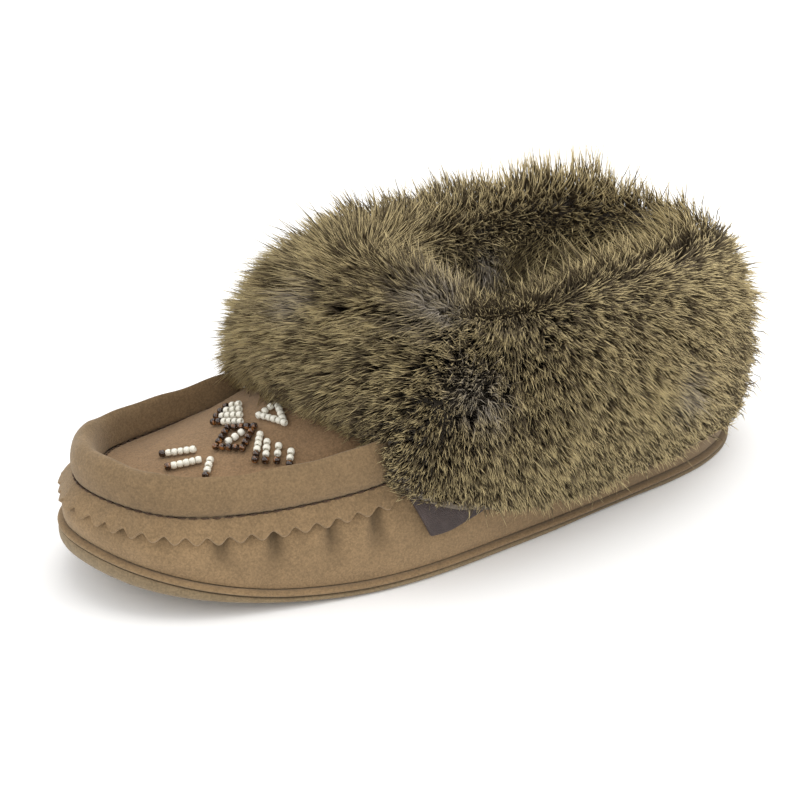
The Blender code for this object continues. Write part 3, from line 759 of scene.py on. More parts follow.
class SLIPPER_OT_materials(bpy.types.Operator):
    """Makes the materials that the pieces share"""

    bl_idname = "slipper.materials"
    bl_label = "Materials"

    def execute(self, context):
        shades = context.scene.slipper_colours

        def toned(colour, factor):
            return [min(value * factor, 1.0) for value in colour]

        suede_group()
        fur_group()
        suede_material("wall suede", shades.suede, past_seam=shades.apron)
        suede_material("roll suede", toned(shades.suede, 0.78))
        suede_material("flap suede", toned(shades.suede, 0.88), edge=(0.40, 0.5))
        suede_material("sole suede", shades.sole)
        suede_material("welt suede", toned(shades.suede, 0.92))
        suede_material("lining pile", toned(shades.suede, 0.5))
        leather_material("tab leather", shades.tab)
        thread_material("seam thread", shades.thread)
        # The white beads' painted glints are a paler copy of their colour
        bead_material("white bead", shades.white_bead, toned(shades.white_bead, 1.1))
        bead_material("dark bead", shades.dark_bead, shades.glint)
        bands = {
            "Root": rgba(shades.fur_root),
            "Band": rgba(shades.fur_band),
            "Tip": rgba(shades.fur_tip),
            "Grey": rgba(shades.fur_wool),
        }
        hair_material("hair", bands)
        pelt_material("pelt", bands)
        return {"FINISHED"}


class SLIPPER_OT_sole(bpy.types.Operator):
    """Builds the soft sole, the welt strip and the insole"""

    bl_idname = "slipper.sole"
    bl_label = "Sole"

    def execute(self, context):
        self.outsole()
        self.welt()
        self.insole()
        return {"FINISHED"}

    def outsole(self):
        def place(a, b):
            _, _, station = outline(a)
            floor = sole_spring(station) + sole_arch(station)
            top = sole_top(station)
            ledge = top - WELT_HEIGHT - CLEARANCE
            inset = [SOLE_EDGE_ROUND * k for k in (9.0, 1.6, 0.9, 0.35, 0.05, 0.0, 0.08, 0.25)]
            height = [floor, floor, floor + (ledge - floor) * 0.06]
            height += [floor + (ledge - floor) * k for k in (0.25, 0.48, 0.68, 0.88, 1.0)]
            inset += [WELT_WIDTH + CLEARANCE, WELT_WIDTH + CLEARANCE, WELT_WIDTH * 3]
            height += [ledge, top, top]
            insets = np.array(inset)
            heights = np.array(height).T
            steps = np.arange(len(inset)) / (len(inset) - 1)
            inset_here = np.interp(b, steps, insets)
            height_here = np.array([np.interp(share, steps, row) for share, row in zip(b, heights)])
            return level(outline(a, inset_here)[0], height_here)

        body = bent_grid(240, 20, place, closed_around=True)
        close_holes(body)
        mesh = to_mesh(body, "outsole_suede")
        add_piece("outsole_suede", mesh, material("sole suede"), ("outsole",))

    def welt(self):
        def place(a, b):
            _, _, station = outline(a)
            turn = 2 * math.pi * b
            square = np.sign(np.cos(turn)) * np.abs(np.cos(turn)) ** 0.8
            inset = WELT_WIDTH * (0.5 - 0.5 * square)
            height = sole_top(station) - WELT_HEIGHT * 0.5 + WELT_HEIGHT * 0.5 * np.sin(turn)
            return level(outline(a, inset)[0], height)

        mesh = section_grid("welt_strip", 260, 12, place, True)
        add_piece("welt_strip", mesh, material("welt suede"), ("welt",))

    def insole(self):
        inset = WALL_INSET + UPPER_WALL + INSOLE_MARGIN

        def place(a, b):
            _, _, station = outline(a)
            base = sole_top(station) + CLEARANCE
            share = np.array([0.0, 0.3, 0.8, 0.96, 1.0, 1.0, 1.0])
            away = np.array([0.0, 0.0, 0.0, 0.2, 0.6, 3.0, 6.0]) * INSOLE_THICKNESS
            steps = np.linspace(0, 1, len(share))
            distance = inset + np.interp(b, steps, away)
            return level(outline(a, distance)[0], base + INSOLE_THICKNESS * np.interp(b, steps, share))

        body = bent_grid(160, 10, place, closed_around=True)
        close_holes(body)
        mesh = to_mesh(body, "insole_pile")
        piece = add_piece("insole_pile", mesh, material("lining pile"), ("insole",))


class SLIPPER_OT_upper(bpy.types.Operator):
    """Builds the suede upper with its gathers and the step round the apron"""

    bl_idname = "slipper.upper"
    bl_label = "Upper"

    def execute(self, context):
        outside = 46

        def place(a, b):
            share = np.clip(b * 2, 0, 1)
            back = np.clip(b * 2 - 1, 0, 1)
            v = np.where(b <= 0.5, 2.0 * share, 2.0 - 2.0 * back)
            hollow = b > 0.5
            from_roll = (v - 1.0) * apron_run(a) - ROLL_FOOT
            step = APRON_STEP * (1 - ease(3.6 * MM, 4.4 * MM, from_roll)) * ease(1.0, 1.1, v)
            step = step * (1 - ease(0.80, 0.72, outline(a)[2]))
            offset = np.where(hollow, -UPPER_WALL, wall_relief(a, v) + step)
            points = skin(a, v, offset)
            low = hollow & (v < 0.02)
            points[low, 2] = skin_point(a, np.zeros_like(a))[low, 2]
            return points

        body = bent_grid(300, outside * 2, place, closed_around=True, closed_along=True)
        mesh = to_mesh(body, "upper_suede")
        # Where the wall's gathers sink below the seam, marked for painted shade
        mark_crease_shade(mesh, lambda a, b: np.where(b < 0.25, -wall_relief(a, b * 4) / CREASE_DEPTH, 0.0))
        add_piece("upper_suede", mesh, material("wall suede"), ("upper",))
        return {"FINISHED"}


def stretch_places(ends, share):
    """Places round the toe, from the outer end (0) to the inner end (1)."""
    first, last = u_at(ends[0], True), u_at(ends[1], False) - 1.0
    return first + (last - first) * np.asarray(share)


class SLIPPER_OT_roll(bpy.types.Operator):
    """Builds the padded roll round the apron"""

    bl_idname = "slipper.roll"
    bl_label = "Padded roll"

    def execute(self, context):
        shape = (
            # share of the way in, outward and upward as shares of width and height
            (0.00, -0.02, -0.02),
            (0.00, 0.15, 0.12),
            (0.00, 0.21, 0.42),
            (0.00, 0.14, 0.72),
            (0.06, 0.00, 0.93),
            (0.43, 0.00, 1.01),
            (0.81, 0.00, 0.80),
            (0.97, 0.00, 0.44),
            (1.00, 0.00, 0.04),
            (0.50, 0.00, 0.06),
        )

        def place(a, b):
            u = stretch_places(ROLL_ENDS, a)
            under_fur = 1 - 0.45 * ease(0.93, 1.0, np.abs(2 * a - 1))
            foot = skin(u, 1.0, 2 * CLEARANCE)
            inner = skin(u, 1.0 + ROLL_FOOT * under_fur / apron_run(u), 3 * CLEARANCE)
            outward = level(outline(u)[1], 0.0)
            swell = 1.0 + 0.035 * np.sin(a * 41.0) + 0.03 * np.sin(a * 67.0 + 1.3)
            column = through(shape, b, closed=True)
            way, out, up = column[:, 0:1], column[:, 1:2], column[:, 2:3]
            point = foot + (inner - foot) * way
            point = point + outward * ROLL_WIDTH * out * (swell * under_fur)[:, None]
            point[:, 2] += ROLL_HEIGHT * up[:, 0] * (1.0 + (swell - 1.0) * 0.5) * under_fur
            return point

        mesh = section_grid("apron_roll_suede", 220, 30, place, False)
        piece = add_piece("apron_roll_suede", mesh, material("roll suede"), ("apron_roll",))
        return {"FINISHED"}


class SLIPPER_OT_flap(bpy.types.Operator):
    """Builds the pinked flap below the roll"""

    bl_idname = "slipper.flap"
    bl_label = "Pinked flap"

    def execute(self, context):
        first, last = stretch_places(FLAP_ENDS, (0.0, 1.0))
        teeth = round(abs(last - first) * SEAM_LENGTH / TOOTH_PITCH)

        def place(a, b):
            u = stretch_places(FLAP_ENDS, a)
            wave = 0.5 - 0.5 * np.cos(2 * math.pi * teeth * a)
            low = below_seam(u, FLAP_DROP + TOOTH_DEPTH * wave ** 0.85)
            high = below_seam(u, 0.5 * FLAP_THICKNESS)
            side = np.abs(b * 2 - 1)
            share = np.clip((side - 0.06) / 0.88, 0, 1)
            v = low + (high - low) * share
            outer = b < 0.5
            edge = np.minimum(np.clip(1 - side, 0, 1), side) / 0.5
            half = 0.5 * FLAP_THICKNESS * np.minimum(1.0, 0.75 + edge * 2.0)
            flutter = FLAP_FLUTTER * (1.0 + np.sin(a * 37.0 + 2.0 * np.sin(a * 11.0)))
            gathered = np.maximum(-wall_relief(u, np.full_like(u, 0.75)), 0.0)
            lift = (1 - share) ** 1.5 * (flutter + 0.35 * gathered)
            follow = np.maximum(wall_relief(u, v), -0.3 * MM)
            middle = 2 * CLEARANCE + 0.5 * FLAP_THICKNESS + follow + lift
            return skin(u, v, middle + np.where(outer, half, -half))

        mesh = section_grid("flap_suede", teeth * 12, 18, place, False)
        add_piece("flap_suede", mesh, material("flap suede"), ("pinked_flap",))
        return {"FINISHED"}


class SLIPPER_OT_stitches(bpy.types.Operator):
    """Sews the seam below the roll"""

    bl_idname = "slipper.stitches"
    bl_label = "Stitches"

    def execute(self, context):
        detail = context.scene.slipper_detail
        body = bmesh.new()
        first, last = stretch_places(STITCH_ENDS, (0.0, 1.0))
        pitch = detail.stitch_length + detail.stitch_gap
        count = int(abs(last - first) * SEAM_LENGTH / pitch)
        middles = first + (last - first) * (np.arange(count) + 0.5) / count
        reach = 0.5 * (last - first) / count * detail.stitch_length / pitch
        for middle in middles:
            ends = np.array([middle - reach, middle + reach])
            drop = below_seam(ends, SEAM_STITCH_DROP)
            low = skin(ends, drop, FLAP_THICKNESS + 2.0 * CLEARANCE)
            self.stitch(body, Vector(low[0]), Vector(low[1]), detail.thread_width)
            in_from_seam = (ROLL_FOOT + APRON_STITCH_GAP) / apron_run(ends)
            far = skin(ends, 1.0 + in_from_seam, APRON_STITCH_GAP)
            self.stitch(body, Vector(far[0]), Vector(far[1]), detail.thread_width)
        mesh = to_mesh(body, "seam_stitches")
        add_piece("seam_stitches", mesh, material("seam thread"), smooth_angle=0)
        return {"FINISHED"}

    def stitch(self, body, start, end, width):
        """One stitch: a small egg-shaped thread that dips at both ends."""
        length = (end - start).length
        turn = (end - start).to_track_quat("Z", "Y").to_matrix().to_4x4()
        size = Matrix.Diagonal((width * 0.5, width * 0.5, length * 0.5, 1.0))
        place = Matrix.Translation((start + end) / 2) @ turn @ size
        bmesh.ops.create_uvsphere(body, u_segments=6, v_segments=6, radius=1.0, matrix=place)


class SLIPPER_OT_tab(bpy.types.Operator):
    """Builds the leather tab on the outer side"""

    bl_idname = "slipper.tab"
    bl_label = "Leather tab"

    def execute(self, context):
        start = u_at(TAB_STATION, True)

        def place(a, b):
            u = start + TAB_LENGTH * a / PLAN_LENGTHS[-1]
            _, _, station = outline(u)
            wall = SEAM_HEIGHT * smooth(SEAM, 2, station) - sole_top(station)
            top = smooth(CUFF, 1, station) + TAB_HIDDEN
            reach = np.minimum(np.minimum(a / 0.22, (1.0 - a) / 0.78), 1.0)
            drop = (TAB_THICKNESS + 5 * CLEARANCE + TAB_HEIGHT * reach) / wall
            bottom = top - TAB_HIDDEN - drop
            side = np.abs(b * 2 - 1)
            share = np.clip((side - 0.08) / 0.84, 0, 1)
            v = bottom + (top - bottom) * share
            border = np.minimum(share / 0.12, np.minimum(a / 0.08, (1 - a) / 0.10))
            rounded = np.clip(border, 0.0, 1.0) ** 0.5
            half = 0.5 * TAB_THICKNESS * (0.45 + 0.55 * rounded)
            lift = TAB_LIFT * np.sin(math.pi * np.clip(a * 1.4, 0, 1)) * (1 - share)
            middle = 3 * CLEARANCE + 0.5 * TAB_THICKNESS + lift
            return skin(u, v, middle + np.where(b < 0.5, half, -half))

        mesh = section_grid("tab_leather", 60, 40, place, False)
        add_piece("tab_leather", mesh, material("tab leather"), ("side_tab",))
        return {"FINISHED"}


class BeadApron:
    """Lays bead places on the apron. Forward is toward the toe."""

    def __init__(self):
        upper = bpy.data.objects["upper_suede"]
        body = bmesh.new()
        body.from_mesh(upper.data)
        self.surface = BVHTree.FromBMesh(body)
        body.free()
        self.middle = Vector((BALL_WIDTH * FIGURE_ACROSS, SOLE_LENGTH * (0.5 - FIGURE_STATION), 0.0))
        self.forward = Vector((-math.sin(FIGURE_TURN), -math.cos(FIGURE_TURN), 0.0))
        self.outward = Vector((-self.forward.y, self.forward.x, 0.0))

    def lay(self, ahead, aside):
        """Middle of a bead and the way up there, for steps ahead and aside."""
        place = self.middle + (self.forward * ahead + self.outward * aside) * BEAD_PITCH
        hit, normal, _, _ = self.surface.ray_cast(place + Vector((0, 0, THROAT_HEIGHT)), Vector((0, 0, -1)))
        return hit + normal * (BEAD_DIAMETER * 0.5 + CLEARANCE), normal


def bead_template():
    """One seed bead round the Z axis: a small ring spun from its section."""
    body = bmesh.new()
    section = bmesh.ops.create_circle(body, segments=8, radius=1.0)["verts"]
    size = Matrix.Diagonal((0.36, 0.96, 1.0, 1.0))
    bmesh.ops.transform(body, matrix=size, verts=section)
    bmesh.ops.rotate(body, verts=section, cent=(0, 0, 0), matrix=Matrix.Rotation(math.pi / 2, 3, "X"))
    bmesh.ops.translate(body, verts=section, vec=(0.64, 0, 0))
    bmesh.ops.spin(
        body, geom=body.verts[:] + body.edges[:], cent=(0, 0, 0), axis=(0, 0, 1),
        angle=2 * math.pi, steps=12, use_merge=True, use_duplicate=False,
    )
    bmesh.ops.recalc_face_normals(body, faces=body.faces[:])
    return body


class SLIPPER_OT_beads(bpy.types.Operator):
    """Threads the bead figure on the apron"""

    bl_idname = "slipper.beads"
    bl_label = "Beads"

    def execute(self, context):
        apron = BeadApron()
        self.random = np.random.default_rng(5)
        template = bead_template()
        self.shape = bpy.data.meshes.new("bead")
        template.to_mesh(self.shape)
        template.free()
        white, dark = [], []
        for _, ahead_1, aside_1, ahead_2, aside_2, whites, darks in BEAD_ROWS:
            count = whites + darks
            start = np.array((ahead_1, aside_1))
            end = np.array((ahead_2, aside_2))
            for index in range(count):
                place = start + (end - start) * index / max(count - 1, 1)
                (white if index < whites else dark).append((place, end - start))
        for _, corners, is_dark in BEAD_OUTLINES:
            for index, corner in enumerate(corners):
                following = corners[(index + 1) % len(corners)]
                side = np.subtract(following, corner)
                count = max(round(float(np.linalg.norm(side))), 1)
                for step in range(count):
                    place = np.add(corner, side * step / count)
                    (dark if is_dark else white).append((place, side))
        nodes = [row[0] for row in BEAD_ROWS] + ["head_frame"]
        self.thread(apron, "white_beads", white, "white bead", nodes, "white_bead")
        self.thread(apron, "dark_beads", dark, "dark bead", ["diamond_frame"], "dark_bead")
        bpy.data.meshes.remove(self.shape)
        return {"FINISHED"}

    def thread(self, apron, name, places, finish, nodes, slot):
        """One mesh with a bead at each place, turned along its row."""
        body = bmesh.new()
        for place, run in places:
            here, normal = apron.lay(*place)
            ahead, _ = apron.lay(*(place + run / np.linalg.norm(run)))
            along = (ahead - here).normalized()
            side = normal.cross(along).normalized()
            up = along.cross(side)
            turn = Matrix((side, up, along)).transposed().to_4x4()
            scale = BEAD_DIAMETER * 0.5 * self.random.uniform(0.94, 1.04)
            tilt = Matrix.Rotation(self.random.uniform(-0.12, 0.12), 4, "X")
            size = Matrix.Diagonal((scale * 1.2, scale * 1.2, scale, 1.0))
            matrix = Matrix.Translation(here + normal * scale * 0.15) @ turn @ tilt @ size
            first = len(body.verts)
            body.from_mesh(self.shape)
            body.verts.ensure_lookup_table()
            bmesh.ops.transform(body, matrix=matrix, verts=body.verts[first:])
        mesh = bpy.data.meshes.new(name)
        body.to_mesh(mesh)
        body.free()
        add_piece(name, mesh, material(finish), nodes, smooth_angle=0)


def fur_controls(u, sunk):
    """Section of the cuff at each place, as control points: the fur's outside
    from its lower edge over the crown to the lining. sunk is how far it lies
    below the outline of the fur."""
    plan, _, station = outline(u)
    outer_side = (u % 1.0) < 0.5
    blend = ease(0.0, 0.06, np.minimum(u % 1.0, 1.0 - u % 1.0))
    edge = np.where(outer_side, smooth(CUFF, 1, station), smooth(CUFF, 2, station))
    edge = CUFF[-1][1] + (edge - CUFF[-1][1]) * blend
    inner_share = 0.5 - 0.5 * np.tanh(plan[:, 0] / (0.16 * BALL_WIDTH))
    depth = np.maximum(FUR_DEPTH * smooth(CUFF, 3, station) - sunk, 3 * MM)[:, None]
    rise = smooth(CUFF, 4, station) * (1 - inner_share) + smooth(CUFF, 5, station) * inner_share
    rise = np.maximum(FUR_RISE * rise - sunk * 0.75, 2.5 * MM)[:, None]
    crown = (CROWN_OUTER + (CROWN_INNER - CROWN_OUTER) * inner_share)[:, None]
    lining_depth = max(FUR_LINING_DEPTH - sunk * 0.55, 2 * MM)
    rim = skin(u, 2.0, -UPPER_WALL * 0.5)
    wide = collar_point(u) - collar_point(u + 0.5)
    outward = level(unit(wide[:, :2]), 0.0)
    upward = np.array([0.0, 0.0, 1.0])
    span = np.linalg.norm(skin_point(u, 2.0) - skin_point(u, 1.0), axis=-1)
    lining_end = 2.0 - FUR_LINING_DROP / span
    foot_out = skin_normal(u, edge)
    down = unit(skin_point(u, edge - 0.03) - skin_point(u, edge))
    low = edge + (2.0 - edge) * 0.34
    high = edge + (2.0 - edge) * 0.70
    foot = skin(u, edge, BACKING_GAP)
    lining = skin(u, lining_end, -UPPER_WALL - BACKING_GAP)
    inward = -skin_normal(u, lining_end)
    fur = [
        foot,
        foot + foot_out * depth * 0.42 + down * depth * 0.05,
        skin(u, low, depth[:, 0] * 0.92),
        skin(u, high, depth[:, 0]) + upward * rise * 0.15,
        rim + outward * depth * (0.68 + 0.4 * crown) + upward * rise * 0.70,
        rim + outward * depth * crown + upward * rise,
        rim - outward * lining_depth * (0.78 - crown) + upward * rise * 0.62,
        rim - outward * lining_depth - upward * FUR_LINING_DROP * 0.20,
        lining + inward * lining_depth * 0.55,
        lining,
    ]
    bend = np.maximum(1.0, edge + 0.12 * (2.0 - edge))
    wall = [
        skin(u, lining_end + (2.0 - lining_end) * 0.5, -UPPER_WALL - BACKING_GAP),
        skin(u, 2.0, -UPPER_WALL - BACKING_GAP) + upward * BACKING_GAP,
        skin(u, 2.0, BACKING_GAP) + upward * BACKING_GAP,
        skin(u, bend + (2.0 - bend) * 0.5, BACKING_GAP),
        skin(u, bend, BACKING_GAP),
    ]
    return np.array(fur), np.array(wall)


FUR_SHARE = 0.72
CROWN_SHARE = 5.0 / 9.0

# Whorls where the grey wool shows: place round the foot, share over the cuff,
# radius in mm and strength
WHORLS = (
    (0.147, 0.45, 13.0, 0.5),
    (0.216, 0.29, 12.0, 0.4),
    (0.367, 0.26, 11.0, 0.35),
    (0.689, 0.74, 10.0, 0.45),
    (0.030, 0.32, 9.0, 0.35),
    (0.780, 0.35, 14.0, 0.4),
    (0.600, 0.30, 12.0, 0.4),
)

# How much further the hairs reach than the outline of the fur, in mm
REACH = (
    # place round the foot, down over the lower edge, outward, into the collar
    (0.00, 4.0, 4.5, 0.0),
    (0.04, 3.0, 3.5, 0.0),
    (0.08, 3.5, 2.5, 0.0),
    (0.12, 4.5, 2.0, 0.0),
    (0.165, 4.5, 1.5, 0.0),
    (0.19, 0.5, 0.5, 0.0),
    (0.21, -1.5, 0.0, 0.0),
    (0.24, -1.5, 0.0, 0.0),
    (0.28, -1.0, 0.0, 1.0),
    (0.34, -1.5, -0.5, 4.0),
    (0.40, -2.5, -3.5, 8.0),
    (0.44, -3.0, -6.5, 10.0),
    (0.48, -2.5, -7.0, 11.0),
    (0.52, -1.0, -1.0, 12.0),
    (0.56, 0.5, 8.5, 7.0),
    (0.60, 0.5, 15.0, 2.0),
    (0.64, 0.5, 12.0, 0.0),
    (0.68, 0.5, 6.5, 0.0),
    (0.76, 1.0, 4.0, 0.0),
    (0.84, 3.0, 7.5, 0.0),
    (0.90, 6.0, 7.5, 0.0),
    (0.96, 6.5, 6.5, 0.0),
    (1.00, 4.0, 4.5, 0.0),
)


# Corners of the room that the fur has round the shoe
FUR_ROOM = ((-0.0655, -0.140, 0.001), (0.0765, 0.150, 0.111))

# How strongly the wool shows in the middle of a whorl
WOOL_STRENGTH = 1.9

# How far the tips of the hairs are combed: over the cuff, more at the front,
# round the foot from a parting on the outer side, and out from a whorl
COMB_OVER = 7.5 * MM
COMB_OVER_FRONT = 2.0 * MM
COMB_AROUND = 6.0 * MM
COMB_PARTING = 0.285
COMB_WHORL = 5.5 * MM


def reach_at(u, column):
    """One column of REACH round the foot, in metres."""
    return np.interp(u % 1.0, [row[0] for row in REACH], [row[column] for row in REACH]) * MM


class Pelt:
    """Even grid over the fur's skin, read by the pelt and by the hairs."""

    def __init__(self, sunk, around=360, over=72):
        self.around, self.over = around, over
        places = np.arange(around) / around
        fur, _ = fur_controls(places, sunk)
        points = through(fur, np.linspace(0, 1, over + 1))
        self.points = np.swapaxes(points, 0, 1)
        ring = np.roll(self.points, -1, axis=0) - np.roll(self.points, 1, axis=0)
        across = np.gradient(self.points, axis=1)
        self.along = unit(ring)
        self.over_way = unit(across)
        self.normal = unit(np.cross(self.along, self.over_way))
        self.area = np.linalg.norm(np.cross(ring * 0.5, across), axis=-1)
        self.span_around = np.linalg.norm(ring, axis=-1, keepdims=True) * 0.5 * around
        self.span_over = np.linalg.norm(across, axis=-1, keepdims=True) * over

    def read(self, field, u, q):
        """Value of a field at places round the foot (0 to 1) and over the cuff."""
        x = (u % 1.0) * self.around
        y = np.clip(q, 0, 1) * self.over
        i = x.astype(int) % self.around
        j = np.minimum(y.astype(int), self.over - 1)
        fx, fy = (x - np.floor(x))[:, None], (y - j)[:, None]
        following = (i + 1) % self.around
        low = field[i, j] * (1 - fx) + field[following, j] * fx
        high = field[i, j + 1] * (1 - fx) + field[following, j + 1] * fx
        return low * (1 - fy) + high * fy

    def scatter(self, random, count, u_low, u_high, q_low, q_high):
        """Random places, evenly by area, in a part of the pelt."""
        u = np.arange(self.around) / self.around
        q = np.arange(self.over + 1) / self.over
        shifted = (u - u_low) % 1.0 < (u_high - u_low)
        weight = self.area * shifted[:, None] * ((q >= q_low) & (q <= q_high))[None, :]
        weight = (weight / weight.sum()).ravel()
        cells = random.choice(len(weight), size=count, p=weight)
        i, j = np.divmod(cells, self.over + 1)
        u = (i + random.uniform(-0.5, 0.5, count)) / self.around
        q = np.clip((j + random.uniform(-0.5, 0.5, count)) / self.over, 0, 1)
        return u % 1.0, q


def comb(pelt, outside, u, q):
    """Roots of hairs on the pelt, the places of their tips on the fur's outline,
    moved the way that the hairs lie, and how much of the grey wool they show."""
    root = pelt.read(pelt.points, u, q)
    front = np.exp(-(((u + 0.5) % 1.0 - 0.5) / 0.10) ** 2)
    down = np.tanh((q - CROWN_SHARE) / 0.22)
    over = down * (COMB_OVER + COMB_OVER_FRONT * front)
    around = np.sin(2 * math.pi * (u - COMB_PARTING)) * COMB_AROUND * (1 - 0.5 * front)
    wool = np.zeros(len(u))
    for place, share, radius, strength in WHORLS:
        centre = pelt.read(pelt.points, np.array([place]), np.array([share]))
        ring = pelt.read(pelt.along, np.array([place]), np.array([share]))
        across = pelt.read(pelt.over_way, np.array([place]), np.array([share]))
        away = root - centre
        distance = np.linalg.norm(away, axis=1)
        pull = strength * np.exp(-((distance / (radius * MM)) ** 2))
        reach = COMB_WHORL * np.tanh(distance / (5 * MM)) / np.maximum(distance, 1e-6)
        around = around * (1 - 0.85 * pull) + (away * ring).sum(axis=1) * reach * pull
        over = over * (1 - 0.85 * pull) + (away * across).sum(axis=1) * reach * pull
        wool = np.maximum(wool, strength * np.exp(-((distance / (radius * 0.6 * MM)) ** 2)))
    tip_u = u + around / outside.read(outside.span_around, u, q)[:, 0]
    tip_q = q + over / outside.read(outside.span_over, u, q)[:, 0]
    return root, tip_u, np.clip(tip_q, 0.03, 0.99), np.clip(wool * WOOL_STRENGTH, 0.0, 1.0)


class SLIPPER_OT_fur(bpy.types.Operator):
    """Grows the fur cuff: a pelt, and hairs that gather into locks"""

    bl_idname = "slipper.fur"
    bl_label = "Fur cuff"

    parts = (
        # name, first and last place round the foot, first and last share over
        ("fur_front", -0.15, 0.15, 0.0, 0.72),
        ("fur_outer_side", 0.15, 0.36, 0.0, 0.72),
        ("fur_heel", 0.36, 0.62, 0.0, 0.72),
        ("fur_inner_side", 0.62, 0.85, 0.0, 0.72),
        ("fur_lining", 0.0, 1.0, 0.72, 0.98),
    )
    lock_scatter = 1.4 * MM
    hair_scatter = 2.2 * MM
    crown_scatter = 4.2 * MM
    free_hairs = 0.10
    wave_height = 0.8 * MM
    rim_lean = 7.0 * MM
    # Share of a hair's length at which it is widest
    widest = 0.55

    def execute(self, context):
        settings = context.scene.slipper_fur
        self.settings = settings
        self.pelt = Pelt(settings.pelt_depth)
        self.outside = Pelt(0.0)
        self.make_pelt(settings.pelt_depth)
        self.random = np.random.default_rng(11)
        self.locks = self.grow_locks(settings.locks)
        for part in self.parts:
            self.grow(*part)
        return {"FINISHED"}

    def make_pelt(self, sunk):
        def place(a, b):
            fur, wall = fur_controls(a % 1.0, sunk)
            rows = np.arange(len(a))
            outside = self.read_curve(fur, np.clip(b / FUR_SHARE, 0, 1), rows)
            back = np.concatenate([fur[-1:], wall, fur[:1]])
            steps = np.clip((b - FUR_SHARE) / (1 - FUR_SHARE), 0, 1) * (len(back) - 1)
            index = np.minimum(steps.astype(int), len(back) - 2)
            t = (steps - index)[:, None]
            inside = back[index, rows] * (1 - t) + back[index + 1, rows] * t
            return np.where((b <= FUR_SHARE)[:, None], outside, inside)

        mesh = section_grid("fur_pelt", 180, 50, place, True)
        piece = add_piece("fur_pelt", mesh, material("pelt"), ("fur_cuff",))

    def read_curve(self, controls, share, rows):
        """Points of curves that each have a share of their own."""
        last = len(controls) - 1
        place = share * last
        index = np.minimum(place.astype(int), last - 1)
        picked = [controls[np.clip(index + shift, 0, last), rows] for shift in (-1, 0, 1, 2)]
        return curve_point(*picked, (place - index)[:, None])

    def grow_locks(self, count):
        """Roots, tips, heights and tones of the locks that the hairs gather into."""
        random = self.random
        u, q = self.pelt.scatter(random, count, 0.0, 1.0, 0.0, 0.99)
        root, tip_u, tip_q, _ = comb(self.pelt, self.outside, u, q)
        tip = self.outside.read(self.outside.points, tip_u, tip_q)
        tip = tip + random.normal(0.0, self.lock_scatter, (count, 3))
        tree = KDTree(count)
        for index, point in enumerate(root):
            tree.insert(point, index)
        tree.balance()
        return tree, tip, random.uniform(-0.25, 0.20, count), random.uniform(0, 1, count)

    def grow(self, name, u_low, u_high, q_low, q_high):
        """One piece of the fur: its hairs stand on the pelt from u_low to u_high
        round the foot and from q_low to q_high over the cuff."""
        settings, random = self.settings, self.random
        count = settings.hairs
        u, q = self.pelt.scatter(random, count, u_low, u_high, q_low, q_high)
        root, tip_u, tip_q, wool = comb(self.pelt, self.outside, u, q)
        tip = self.outside.read(self.outside.points, tip_u, tip_q)
        outward = unit(self.outside.read(self.outside.normal, tip_u, tip_q))
        low = 1 - ease(0.0, 0.25, q)
        tip, length, lock = self.gather(root, tip, low)
        tip = self.set_out(tip, outward, u, q, low)
        tip = self.lean_in(tip, u, q)
        tip = self.shorten(root, tip)
        normal = unit(self.pelt.read(self.pelt.normal, u, q))
        bend = (length * random.uniform(0.05, 0.13, count) * (1 - 0.6 * low))[:, None]
        middle = root + (tip - root) * self.widest + normal * bend + outward * bend * 0.4
        tip = tip - np.array([0, 0, 1.0]) * (length * 0.06 * (1 - low))[:, None]
        width = settings.hair_width * random.uniform(0.6, 1.3, count)
        tone = random.uniform(0, 1, count) * 0.6 + self.locks[3][lock] * 0.4
        # Paler tone round the heel and on the far side: partly paler hair, partly painted light
        tone = np.clip(tone + 0.45 * self.paler(u, q), 0, 1)
        self.write(name, (root - normal * MM, middle, tip), width, tone, wool)

    def gather(self, root, tip, low):
        """Draws the tips to the nearest lock, except for some free hairs, and cuts
        each hair to its own length. low is 1 at the fur's lower edge."""
        random, count = self.random, len(root)
        tip = tip + random.normal(0.0, self.hair_scatter, (count, 3))
        tree, lock_tip, lock_height, _ = self.locks
        lock = np.array([tree.find(point)[1] for point in root])
        free = random.uniform(0, 1, count) < self.free_hairs
        pull = np.where(free, 0.0, random.uniform(0.35, 0.75, count))[:, None]
        tip = tip + (lock_tip[lock] - tip) * pull
        reach = random.uniform(0.55, 1.04, count) ** 0.8 + lock_height[lock] * 0.5
        reach = np.where(free, random.uniform(1.0, 1.22, count), reach) * (1 - 0.18 * low)
        whole = tip - root
        return root + whole * reach[:, None], np.linalg.norm(whole, axis=1), lock

    def set_out(self, tip, outward, u, q, low):
        """Moves the tips past the fur's outline as REACH says, in soft waves."""
        edge = smooth(CUFF, 1, outline(u)[2])
        down = unit(skin_point(u, edge - 0.04) - skin_point(u, edge))
        tip = tip + down * (reach_at(u, 1) * low)[:, None]
        far_side = ease(0.48, 0.54, u) * (1 - ease(0.74, 0.82, u))
        further = reach_at(u, 2) * ease(0.0, 0.2, q) * (1 - ease(0.6, 0.8, q))
        further = further * (1 - far_side * (1 - ease(0.34, 0.46, q)))
        further = np.where(further < 0, further * (1 - ease(0.28, 0.44, q)), further)
        further = further + reach_at(u, 3) * ease(0.52, 0.64, q) * (1 - ease(0.80, 0.95, q))
        waves = np.sin(u * 71.0 + 3.0 * q) + np.sin(u * 113.0 - q * 19.0 + 1.0)
        waves = waves + np.sin(q * 27.0 + u * 37.0)
        return tip + outward * (further + waves * self.wave_height)[:, None]

